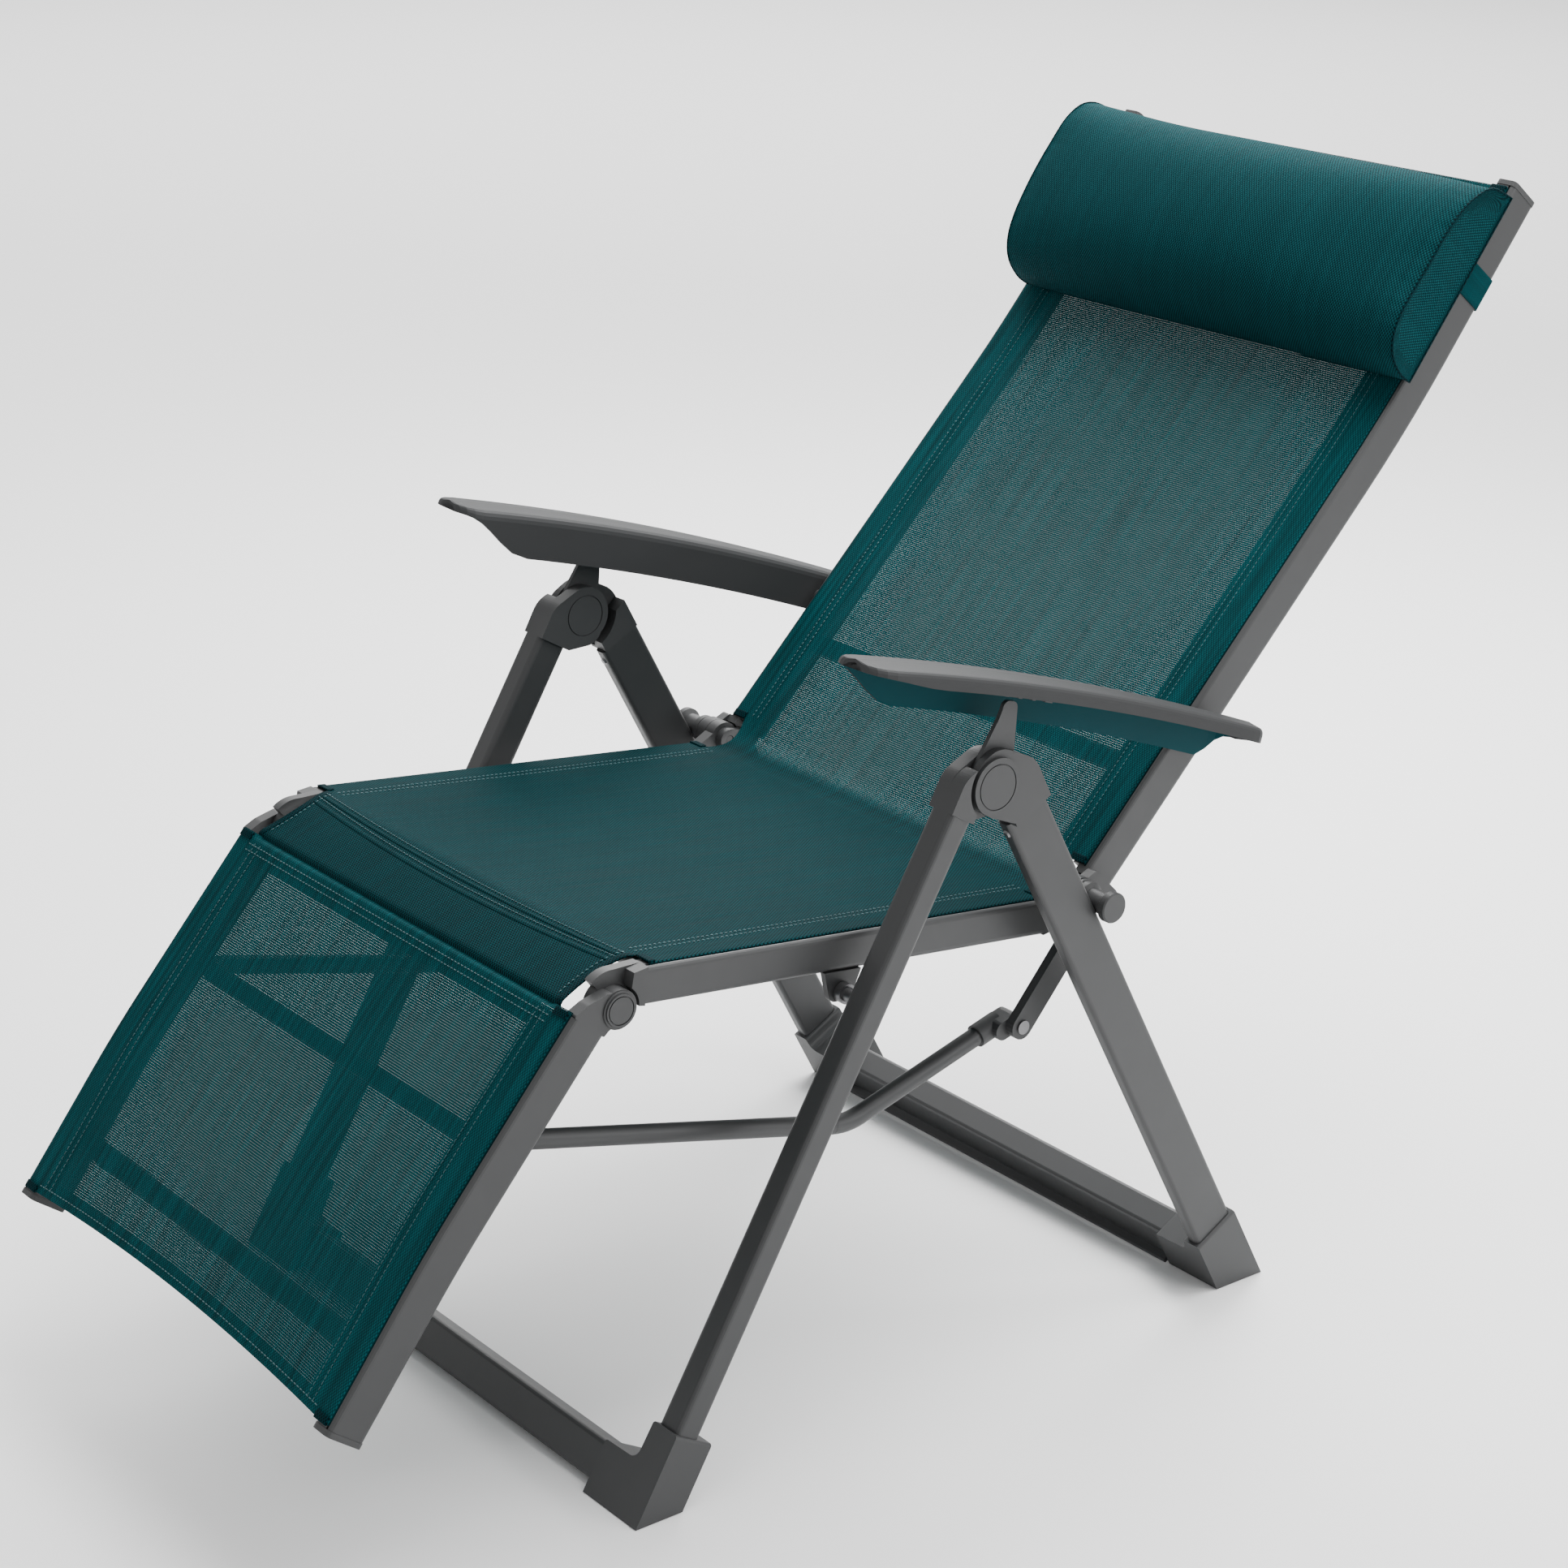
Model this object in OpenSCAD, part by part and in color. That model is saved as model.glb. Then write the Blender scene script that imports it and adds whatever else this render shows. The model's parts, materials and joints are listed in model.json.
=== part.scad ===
// Folding relax armchair with reclining back, linked footrest and sling cover.
// Millimetres, +Z up, the foot end points to -Y, x = 0 is the plane of symmetry.
// The origin lies on the floor under the middle of the chair.

/* [Seat frame] */
// Half width of the chair over its side rails
frame_half_w = 260; // [240:1:285]
// Width of a side rail seen from above
rail_w = 22; // [20:1:26]
// Wall of the side rails
rail_wall = 2; // [1.4:0.1:2.6]
// Radius of the rails' long edges
rail_edge = 5; // [2:0.5:6]
// Depth of the seat rail
seat_rail_d = 33; // [28:1:38]
// Seat rail from the back hinge to its front end
seat_rail_reach = 468; // [430:1:500]
// Slope of the seat down to the rear, degrees
seat_slope = 5.4; // [2:0.2:9]
// Knee joint in front of the seat rail's front end
knee_set = 25.5; // [24:0.5:32]
// Knee joint below the top face of the seat rail
knee_drop = 32.5; // [30:0.5:36]
// Back hinge above the top face of the seat rail
hinge_rise = 5; // [3:0.5:8]

/* [Backrest] */
// Angle of the lower backrest over the floor, degrees
back_angle = 46.6; // [44:0.2:49]
// Depth of the back rail
back_rail_d = 39; // [34:1:44]
// Straight lower part of the back rail, from the hinge
back_straight = 465; // [420:5:520]
// Gentle bend of the back rail, degrees
back_bend = 6; // [2:0.5:9]
// Radius of that bend
back_bend_r = 1400; // [900:50:2000]
// Straight upper part of the back rail
back_upper = 168; // [150:2:230]
// Tube radius of the crossbars
crossbar_r = 10; // [8:0.5:12]
// Lower backrest crossbar, distance from the hinge
back_bar_reach = 133; // [110:1:160]
// Armrest joint, distance from the hinge
arm_joint_reach = 177; // [165:1:190]

/* [Footrest] */
// Angle of the upper footrest over the floor, degrees
foot_angle = 50.3; // [46:0.2:55]
// Depth of the footrest rail
foot_rail_d = 38; // [34:1:42]
// Straight upper part of the footrest rail, from the knee
foot_straight = 200; // [180:5:240]
// Bend of the footrest rail, degrees
foot_bend = 3.6; // [1:0.2:6]
// Radius of that bend
foot_bend_r = 1200; // [800:50:1600]
// Straight lower part of the footrest rail
foot_lower = 116; // [90:2:150]

/* [Legs] */
// Height of the joint where the legs meet
apex_height = 573; // [545:1:600]
// Depth position of that joint
apex_y = -35.7; // [-60:0.1:-20]
// Lean of the front legs from the upright, degrees
front_lean = 29.3; // [26:0.1:31]
// Lean of the rear legs from the upright, degrees
rear_lean = 29.6; // [27:0.1:32]
// Free space between seat frame and legs
leg_space = 26; // [24:0.5:32]
// Width of the front leg tube
front_leg_w = 26; // [22:1:30]
// Depth of the front leg tube on its inner face
front_leg_d = 36; // [30:1:40]
// How much shallower its outer face is
front_leg_taper = 12; // [4:1:16]
// Width of the rear leg tube
rear_leg_w = 15; // [13:1:18]
// Depth of the rear leg tube
rear_leg_d = 46; // [40:1:48]
// Wall of the leg tubes
leg_wall = 1.8; // [1.2:0.1:2.4]
// Height of the floor bars
floor_bar_h = 39; // [34:1:44]
// Length of the shoes up the legs
shoe_h = 62; // [56:1:80]
// Wall of the plastic shoes
shoe_wall = 3; // [2:0.2:3.6]

/* [Joints] */
// Radius of the round head at the leg joint
head_r = 27; // [25:0.5:30]
// Radius of the cap in that head
head_cap_r = 20.5; // [17:0.5:22]
// Radius of all hinge pins
pin_r = 4; // [3:0.25:5]
// Running clearance of a pin in its hole
pin_play = 0.06; // [0.03:0.01:0.1]
// Seat pivot below the leg joint, along the front leg
seat_pivot_drop = 209.5; // [195:0.5:225]
// Back hinge below the leg joint, along the rear leg
back_hinge_drop = 195; // [185:0.5:205]
// Back hinge behind the leg joint, square to the rear leg
back_hinge_set = 56.3; // [54:0.1:60]
// Radius of the hinge eyes
eye_r = 15.5; // [13:0.5:16]
// Radius of the knee cap
knee_cap_r = 14; // [12:0.5:15.5]
// Radius of the knee horn under the cover
knee_horn_r = 30; // [26:0.5:31]
// Gap between pieces that move on each other
side_gap = 0.6; // [0.4:0.1:1]

/* [Push bar] */
// Diameter of the push bar
push_d = 17; // [14:1:18]
// Lower end of the lever, along the back rail below the hinge
lever_drop = 119.5; // [100:0.5:130]
// Lower end of the lever, behind the front face of the back rail
lever_set = 57; // [50:0.5:64]
// Lever width
lever_w = 24; // [20:1:28]
// Lever thickness
lever_t = 9; // [7:0.5:9.5]
// Push bar joint on the footrest, below the knee
push_joint_drop = 147; // [135:1:160]
// Push bar joint on the footrest, in front of the rail's rear face
push_joint_set = 21; // [18:1:24]
// Depth of the low bend under the line between the push bar's ends
push_sag = 66; // [50:1:75]
// Bend radius of the push bar
push_bend_r = 60; // [45:5:80]
// Free way of the push bar's stub in the footrest plates
fork_way = 4.4; // [4.2:0.1:5]

/* [Armrests] */
// Width of an armrest
arm_w = 64; // [58:1:68]
// Length of an armrest
arm_len = 486; // [450:2:520]
// Part of the armrest in front of its support
arm_front = 178; // [160:2:190]
// Depth of the inner skirt
arm_skirt = 42; // [36:1:46]
// Depth of the outer rim
arm_rim = 13; // [9:1:18]
// Wall of the armrest shell
arm_wall = 2.6; // [2:0.2:3.4]
// Slope of the armrest down to the rear, degrees
arm_slope = 16.4; // [14:0.2:19]
// Top of the support plate over the leg joint
support_rise = 72; // [66:1:78]
// Support plate's tip behind the leg joint
support_set = 21; // [16:1:26]
// Thickness of the support plate
support_t = 4; // [3:0.5:5]
// Distance between the rack's notches
notch_pitch = 16; // [14:0.5:20]
// Radius of a notch
notch_r = 6; // [5:0.25:6.5]
// Notches in front of the resting one
notches_front = 4; // [2:1:4]
// Notches behind the resting one
notches_rear = 2; // [1:1:2]
// Gap between rack and support plate
rack_gap = 0.4; // [0.3:0.1:0.8]

/* [Sling] */
// Thickness of the sling fabric
cloth_t = 1.4; // [1:0.1:2]
// Gap between fabric and frame
cloth_gap = 0.3; // [0.3:0.1:0.6]
// Distance of the piping groove from the rail's outer face
groove_in = 4.8; // [4.6:0.1:12]
// Radius of the piping in the fabric's edge
piping_r = 2.4; // [2:0.1:2.8]

/* [Head cushion] */
// Distance of the cushion's ends inside the rails' outer faces
cushion_inset = 14; // [10:1:50]
// Width of the cushion along the back
cushion_w = 202; // [160:2:220]
// Height of the cushion
cushion_h = 98; // [70:2:110]
// Middle of the cushion, distance from the hinge
cushion_reach = 665; // [640:2:690]
// Width of the elastic straps
strap_w = 32; // [20:1:40]
// Thickness of the straps
strap_t = 1.2; // [1:0.1:2]

/* [Hidden] */
$fn = 48;

frame_grey = [0.30, 0.31, 0.32];
cast_grey = [0.33, 0.34, 0.35];
cloth_teal = [0.02, 0.27, 0.29];
steel = [0.7, 0.7, 0.7];

// Joint centres in the side view, as [y, z]
function turn(v, a) = [v[0] * cos(a) - v[1] * sin(a), v[0] * sin(a) + v[1] * cos(a)];
front_a = 90 - front_lean;
rear_a = 90 + rear_lean;
apex = [apex_y, apex_height];
front_leg_back = 1;
front_leg_front = front_leg_back + front_leg_d;
seat_pivot = apex + turn([-seat_pivot_drop, front_leg_back + front_leg_d / 2 + 1], front_a);
back_hinge = apex + turn([-back_hinge_drop, -back_hinge_set], rear_a);
seat_a = -seat_slope;
knee_reach = seat_rail_reach + knee_set;
knee = back_hinge + turn([-knee_reach, -hinge_rise - knee_drop], seat_a);
pivot_in_seat = turn(seat_pivot - back_hinge, -seat_a);
support_tip = apex + [support_set, support_rise];

// Lateral places, left side
rail_in = frame_half_w - rail_w;
leg_in = frame_half_w + leg_space;
front_leg_out = leg_in + front_leg_w;
rear_leg_out = leg_in + rear_leg_w;
head_in = leg_in - 3;
head_t = 14;
support_in = head_in + head_t + side_gap;
cover_in = support_in + support_t + side_gap;
cover_out = cover_in + 7;
cap_out = cover_out + 3.5;
knob_out = cap_out + 0.5;
neck_r = back_hinge_set - rear_leg_d - 0.3;
lever_in = rail_in;
seat_eye_in = lever_in + lever_t + side_gap;
seat_eye_out = frame_half_w;
back_eye_in = seat_eye_out + side_gap;
back_eye_out = back_eye_in + 10;
spool_in = back_eye_out + side_gap;
fork_t = 6;
push_x = rail_in - fork_t - 2 - push_d / 2;
groove_x = frame_half_w - groove_in;
groove_deep = 6.5;
arm_in = frame_half_w + 3.4;
knee_cap_out = arm_in - 0.6;
cloth_lo = cloth_gap;
cloth_hi = cloth_gap + cloth_t;

// Outline with rounded corners, each corner given as [u, v, radius]
function unit(v) = v / norm(v);
function fillet(a, b, c, r, n) =
  let (p = unit(a - b), q = unit(c - b), half = acos(max(-1, min(1, p * q))) / 2)
  (r <= 0 || half > 89.5) ? [b] :
  let (t = r / tan(half), m = b + unit(p + q) * (r / sin(half)),
       s = b + p * t - m, e = b + q * t - m,
       a0 = atan2(s[1], s[0]), d = ((atan2(e[1], e[0]) - a0 + 540) % 360) - 180)
  [for (i = [0 : n]) m + r * [cos(a0 + d * i / n), sin(a0 + d * i / n)]];
function xy(p) = [p[0], p[1]];
function rounded(pts, n = 5) = let (k = len(pts))
  [for (i = [0 : k - 1]) each fillet(xy(pts[(i + k - 1) % k]), xy(pts[i]),
                                     xy(pts[(i + 1) % k]), pts[i][2], n)];
function box_outline(u0, u1, v0, v1, r) = rounded([[u0, v0, r], [u1, v0, r], [u1, v1, r], [u0, v1, r]], 4);

// Frame placed at a side-view point, its y axis turned up by an angle
module at(p, a) translate([0, p[0], p[1]]) rotate([a, 0, 0]) children();
// Side-view outline given thickness from x0 to x1
module slab(x0, x1) translate([x0, 0, 0]) rotate([90, 0, 90]) linear_extrude(x1 - x0) children();
// Cross-section outline (x, z) run from y0 to y1
module run(y0, y1) translate([0, y1, 0]) rotate([90, 0, 0]) linear_extrude(y1 - y0) children();
// Cross-section run straight, round a gentle bend towards +z, then straight again.
// Sections add $grow to their outlines: the bend is a hair larger than the straights it takes in.
$grow = 0;
seam = 0.6;
module grown(c) {
  $grow = c;
  children();
}
module bent_run(y0, y1, r, a, y2, steps = 360) {
  run(y0, y1 + seam) children();
  translate([0, y1, r]) rotate([0, 90, 0])
    rotate_extrude(angle = a, $fn = steps) translate([r, 0]) rotate(90) grown(0.02) children();
  past_bend(y1, r, a) run(-seam, y2) children();
}
module past_bend(y1, r, a) translate([0, y1, r]) rotate([a, 0, 0]) translate([0, 0, -r]) children();
// Cylinder along x from x0 to x1
module rod(r, x0, x1) translate([x0, 0, 0]) rotate([0, 90, 0]) cylinder(r = r, h = x1 - x0);
module both() {
  children();
  mirror([1, 0, 0]) children();
}
module side(s) {
  if (s > 0) children();
  else mirror([1, 0, 0]) children();
}
module above_floor() intersection() {
  children();
  translate([-900, -1500, 0]) cube([1800, 3000, 2000]);
}

// Leg tube sections in (x, z), z towards the front of the leg
function front_leg_section(c) = rounded([
  [leg_in - c, front_leg_back - c, 5], [front_leg_out + c, front_leg_back + front_leg_taper - c, 5],
  [front_leg_out + c, front_leg_front + c, 5], [leg_in - c, front_leg_front + c, 5]], 4);
function rear_leg_section(c) = box_outline(leg_in - c, rear_leg_out + c, -rear_leg_d - c, c, 4);

// Where a leg's own axis meets the floor at depth z
function floor_y(z, a) = -(apex_height + z * cos(a)) / sin(a);
front_bar_y1 = floor_y(front_leg_front, front_a) + 4.5 + floor_bar_h;
front_bar_z0 = front_leg_back + 8;
rear_bar_y0 = floor_y(0, rear_a) + 4.5;
rear_bar_y1 = rear_bar_y0 + floor_bar_h;
rear_bar_z0 = -32;
front_split = -37;
rear_split = -50;
shoe_in = frame_half_w - 20;

module front_leg() color(frame_grey) at(apex, front_a) difference() {
  run(floor_y(front_leg_back, front_a) + 10, front_split) polygon(front_leg_section(0));
  run(-900, 10) polygon(front_leg_section(-leg_wall));
  translate([0, -seat_pivot_drop, front_leg_back + front_leg_d / 2 + 1]) rod(pin_r + pin_play, leg_in - 5, leg_in + 8);
}

module rear_leg() color(frame_grey) at(apex, rear_a) difference() {
  run(floor_y(-rear_leg_d, rear_a) + 40, rear_split) polygon(rear_leg_section(0));
  run(-900, 10) polygon(rear_leg_section(-leg_wall));
}

// Front leg's top casting: a fender that curls from the tube into the round head
module front_head() color(cast_grey) at(apex, front_a) difference() {
  union() {
    slab(head_in, head_in + head_t) polygon(rounded([
      [front_split, front_leg_back, 0], [front_split, front_leg_front, 0],
      [-6, front_leg_front + 1, 26], [head_r + 1, head_r * 0.55, 24],
      [head_r + 1, -head_r * 0.7, 22], [-head_r * 0.7, -head_r - 1, 18]], 8));
    rod(head_r, head_in, head_in + head_t);
    difference() {
      slab(head_in, front_leg_out + 0.8) polygon(rounded([
        [front_split, front_leg_back + front_leg_taper * 0.7, 0], [front_split, front_leg_front, 0],
        [-6, front_leg_front + 1, 26], [12, 25, 14], [6, 10, 0]], 8));
      rod(head_r + side_gap + 2.6, head_in + head_t, 400);
    }
    run(front_split - 24, front_split + 1) polygon(front_leg_section(-leg_wall - 0.1));
  }
  rod(pin_r + pin_play, head_in + 3, 400);
  ring_groove(head_cap_r, head_in, 1);
}

// Ring-shaped groove cut into a face at x0 that looks along -x
module ring_groove(r, x0, depth) translate([x0 - 1, 0, 0]) rotate([0, 90, 0]) difference() {
  cylinder(r = r, h = 1 + depth);
  translate([0, 0, -1]) cylinder(r = r - 1.1, h = 3 + depth);
}

// Rear leg's top casting: outer cover plate round the joint, arm into the tube
module rear_head() color(cast_grey) at(apex, rear_a) difference() {
  union() {
    slab(cover_in, cover_out) polygon(rounded([
      [rear_split, -6, 0], [rear_split, -rear_leg_d, 0], [-8, -rear_leg_d - 1, 30],
      [head_r + 1, -head_r * 0.72, 24], [head_r + 1, head_r * 0.72, 22], [-head_r * 0.7, head_r * 0.72, 14]], 8));
    rod(head_r - 1.5, cover_in, cap_out);
    difference() {
      slab(leg_in, cover_out) polygon([[rear_split, -rear_leg_d], [rear_split, -3], [-28, -3], [-18, -rear_leg_d]]);
      rod(head_r + 12, leg_in - 10, cover_in);
    }
    run(rear_split - 24, rear_split + 1) polygon(rear_leg_section(-leg_wall - 0.1));
  }
  rod(pin_r + pin_play, 200, cover_out - 1);
  translate([cap_out, 0, 0]) mirror([1, 0, 0]) ring_groove(head_cap_r, 0, 1);
}

// Support plate for the armrest, clamped between the two heads
module arm_support() color(cast_grey) at(apex, 0) difference() {
  slab(support_in, support_in + support_t) polygon(rounded([
    [-head_r + 6, -6, 8], [-head_r + 9, 16, 8], [support_set - 12, support_rise - 14, 60],
    [support_set - 7, support_rise - 1, 6], [support_set + 7, support_rise - 5, 6],
    [support_set + 5, 18, 30], [head_r - 6, -2, 8], [0, -head_r + 4, 18]], 8));
  rod(pin_r + pin_play, 200, 400);
}

module leg_joint_pins() color(steel) both() at(apex, 0) rod(pin_r, head_in + 3.2, cover_out - 1.2);

module seat_pivot_pins() color(cast_grey) both() at(seat_pivot, 0) {
  rod(pin_r, frame_half_w - 9, leg_in + 6);
  rod(pin_r + 4, frame_half_w - 9, frame_half_w - 6 - 0.3);
  rod(pin_r + 5, frame_half_w + 1.2, frame_half_w + 9);
  rod(pin_r + 2.5, frame_half_w + 9, leg_in - 0.3);
}

// Front floor bar's section, its underside level with the floor, grown by c
function front_bar_outline(c, r) = let (z0 = front_bar_z0 - c, z1 = front_leg_front - 2 + c, gap = 4.5 - c)
  rounded([[floor_y(z0, front_a) + gap, z0, r], [front_bar_y1 + c, z0, r],
    [front_bar_y1 + c, z1, r], [floor_y(z1, front_a) + gap, z1, r]], 4);

module front_floor_bar() color(frame_grey) at(apex, front_a) difference() {
  translate([-leg_in + 8, 0, 0]) slab(0, 2 * leg_in - 16)
    polygon(front_bar_outline(0, 4));
  slab(-900, 900) polygon(front_bar_outline(-leg_wall, 3));
}

module rear_floor_bar() color(frame_grey) at(apex, rear_a) difference() {
  union() {
    slab(-leg_in + 8, leg_in - 8) polygon(box_outline(rear_bar_y0, rear_bar_y1, rear_bar_z0, -2, 4));
    slab(-shoe_in + 2, shoe_in - 2) polygon(rounded([[rear_bar_y0, -6, 0], [rear_bar_y0, 6, 1.2],
      [rear_bar_y0 + 4, 6, 1.2], [rear_bar_y0 + 7, -6, 0]], 3));
  }
  slab(-900, 900) polygon(box_outline(rear_bar_y0 + leg_wall, rear_bar_y1 - leg_wall,
    rear_bar_z0 + leg_wall, -2 - leg_wall, 3));
}

// Corner shoe: an L in the plane of the leg frame, with pockets for leg and floor bar
module shoe(a, leg_out, z0, z1, y_bar1) above_floor() at(apex, a) difference() {
  translate([0, 0, z0]) linear_extrude(z1 - z0) polygon(rounded([
    [leg_out + shoe_wall, -900, 0], [leg_out + shoe_wall, floor_y(0, a) + shoe_h, 3],
    [leg_in - shoe_wall, floor_y(0, a) + shoe_h, 3], [leg_in - shoe_wall - 1, y_bar1 + shoe_wall + 1, 9],
    [shoe_in, y_bar1 + shoe_wall, 3], [shoe_in, -900, 0]], 5));
  children();
}

module front_shoe() color(cast_grey)
  shoe(front_a, front_leg_out, front_leg_back - shoe_wall, front_leg_front + shoe_wall, front_bar_y1) {
    run(floor_y(front_leg_back, front_a) + 9.8, 0) polygon(front_leg_section(0.2));
    slab(0, leg_in - 7.8) polygon(front_bar_outline(0.2, 4));
  }

module rear_shoe() color(cast_grey)
  shoe(rear_a, rear_leg_out, -rear_leg_d - shoe_wall, shoe_wall, rear_bar_y1) {
    run(floor_y(-rear_leg_d, rear_a) + 39.8, 0) polygon(rear_leg_section(0.2));
    slab(0, leg_in - 7.8) polygon(box_outline(rear_bar_y0 - 0.2, rear_bar_y1 + 0.2, rear_bar_z0 - 0.2, -1.8, 4));
  }

module rear_leg_screws() color(steel) both() at(apex, rear_a)
  translate([(leg_in + rear_leg_out) / 2, rear_split - 12, 0.05]) cylinder(r1 = 4, r2 = 2.6, h = 1.6);

// Rail section in (x, z): top face at z = 0, hollow below, piping groove near the outer edge
module rail_section(depth) let (g = $grow, w = rail_wall + $grow, slot = cloth_t / 2 + cloth_gap - $grow) difference() {
  polygon(box_outline(rail_in - g, frame_half_w + g, -depth - g, g, rail_edge));
  polygon(box_outline(rail_in + w, frame_half_w - w, -depth + w,
    -groove_deep - piping_r - w, max(0.5, rail_edge - rail_wall)));
  translate([groove_x, -groove_deep]) circle(r = piping_r + cloth_gap - g);
  translate([groove_x - slot, -groove_deep]) square([2 * slot, 20]);
}

// Sling section in (x, z): sheet over the rails, its edges turned down into the grooves
module sling_section() let (g = $grow, half = groove_x + cloth_t / 2 + $grow) {
  translate([-half, cloth_lo - g]) square([2 * half, cloth_t + 2 * g]);
  for (s = [-1, 1]) {
    translate([s * groove_x, -groove_deep]) circle(r = piping_r + g);
    translate([s * groove_x - cloth_t / 2 - g, -groove_deep])
      square([cloth_t + 2 * g, groove_deep + cloth_lo + cloth_t / 2]);
  }
}

// The sheet alone, where it passes between the castings
module inner_sheet() translate([-rail_in + 4, cloth_lo]) square([2 * rail_in - 8, cloth_t]);

seat_top = -hinge_rise;
seat_rail_y0 = -seat_rail_reach;
seat_rail_y1 = -30;
knee_y = -knee_reach;
knee_z = seat_top - knee_drop;

module seat_rail() color(frame_grey) at(back_hinge, seat_a) translate([0, 0, seat_top])
  run(seat_rail_y0, seat_rail_y1) rail_section(seat_rail_d);

// Front casting of the seat rail: a thin horn round the knee on the inner side
module seat_knee() color(cast_grey) at(back_hinge, seat_a) difference() {
  union() {
    slab(rail_in, seat_eye_in) {
      translate([knee_y, knee_z]) circle(r = 21);
      intersection() {
        translate([knee_y, knee_z]) circle(r = knee_horn_r);
        translate([knee_y, knee_z]) polygon([[0, 0], [60 * cos(134), 60 * sin(134)], [-10, 60],
          [seat_rail_y0 - knee_y, 60], [seat_rail_y0 - knee_y, 0]]);
      }
      polygon([[knee_y, knee_z - 4], [knee_y, knee_z + knee_horn_r - 0.01], [seat_rail_y0, seat_top],
        [seat_rail_y0, seat_top - seat_rail_d]]);
    }
    difference() {
      slab(seat_eye_in - 1, frame_half_w) polygon([[seat_rail_y0 - 14, seat_top - 3],
        [seat_rail_y0, seat_top], [seat_rail_y0, seat_top - seat_rail_d], [seat_rail_y0 - 16, seat_top - seat_rail_d + 2]]);
      translate([0, knee_y, knee_z]) rod(19.5, seat_eye_in, 400);
    }
    run(seat_rail_y0 - 1, seat_rail_y0 + 20) translate([0, seat_top]) polygon(box_outline(rail_in + rail_wall + 0.1,
      frame_half_w - rail_wall - 0.1, -seat_rail_d + rail_wall + 0.1, -groove_deep - piping_r - rail_wall - 0.1, 3));
  }
  translate([0, knee_y, knee_z]) rod(pin_r + pin_play, 0, 400);
}

// Rear casting of the seat rail: arm up to the hinge eye
module seat_eye() color(cast_grey) at(back_hinge, seat_a) difference() {
  union() {
    slab(seat_eye_in, seat_eye_out) polygon(rounded([
      [seat_rail_y1, seat_top, 0], [seat_rail_y1, seat_top - seat_rail_d, 0],
      [-8, seat_top - seat_rail_d + 6, 12], [eye_r * 0.7, -eye_r * 0.75, 4], [-4, eye_r * 0.8, 3]], 6));
    rod(eye_r, seat_eye_in, seat_eye_out);
    run(seat_rail_y1 - 20, seat_rail_y1 + 1) translate([0, seat_top]) polygon(box_outline(
      rail_in + rail_wall + 0.1, frame_half_w - rail_wall - 0.1, -seat_rail_d + rail_wall + 0.1,
      -groove_deep - piping_r - rail_wall - 0.1, 3));
  }
  rod(pin_r + pin_play, 0, 400);
}

// Hanger plate under the seat rail, down to the pivot on the front leg
module seat_hanger() color(cast_grey) difference() {
  at(back_hinge, seat_a) slab(frame_half_w - 6, frame_half_w) polygon(rounded([
    [pivot_in_seat[0] - 20, seat_top - seat_rail_d, 0], [pivot_in_seat[0] + 20, seat_top - seat_rail_d, 0],
    [pivot_in_seat[0] + 11, pivot_in_seat[1] - 9, 8], [pivot_in_seat[0] - 11, pivot_in_seat[1] - 9, 8]], 6));
  at(seat_pivot, 0) rod(pin_r + pin_play, 0, 400);
}

// Grooved spool and stop disc that straddle the rear leg
module spool() color(cast_grey) at(back_hinge, 0) {
  rod(pin_r, lever_in + 0.5, spool_in + 1);
  translate([spool_in, 0, 0]) rotate([0, 90, 0]) rotate_extrude() polygon([
    [0, 0], [eye_r - 1, 0], [eye_r - 1, 3], [eye_r - 2.5, 3.6], [eye_r - 2.5, 4.4], [eye_r - 1.5, 5],
    [eye_r - 1.5, leg_in - spool_in - 4], [neck_r, leg_in - spool_in - 2],
    [neck_r, rear_leg_out - spool_in + 1], [knee_cap_r, rear_leg_out - spool_in + 5],
    [knee_cap_r, knob_out - spool_in - 1.2], [knee_cap_r - 1.2, knob_out - spool_in], [0, knob_out - spool_in]]);
}

module seat_crossbar() color(frame_grey) at(back_hinge, seat_a)
  translate([0, seat_rail_y0 + 42, seat_top - seat_rail_d + crossbar_r + 1]) difference() {
    rod(crossbar_r, -rail_in, rail_in);
    rod(crossbar_r - 1.5, -rail_in - 1, rail_in + 1);
  }

// Seat part of the sling, with the band that bridges the knee between the horns
module seat_sling() color(cloth_teal) at(back_hinge, seat_a) {
  translate([0, 0, seat_top]) {
    run(seat_rail_y0 + 8, seat_rail_y1 - 1) sling_section();
    run(seat_rail_y1 - 2, -12) inner_sheet();
  }
  slab(-rail_in + 4, rail_in - 4) polygon([
    [seat_rail_y0 + 9, seat_top + cloth_lo], [seat_rail_y0 + 9, seat_top + cloth_hi],
    [seat_rail_y0 + 3, seat_top + cloth_hi - 0.6], [knee_y - 32.5, knee_z + 3 + cloth_t],
    [knee_y - 32.5, knee_z + 3], [seat_rail_y0 + 3, seat_top + cloth_lo - 0.6]]);
}

module back_profile_run(y0) bent_run(y0, back_straight, back_bend_r, back_bend, back_upper) children();

back_split = 25;
module back_rail() color(frame_grey) at(back_hinge, back_angle) difference() {
  back_profile_run(back_split) rail_section(back_rail_d);
}

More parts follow.
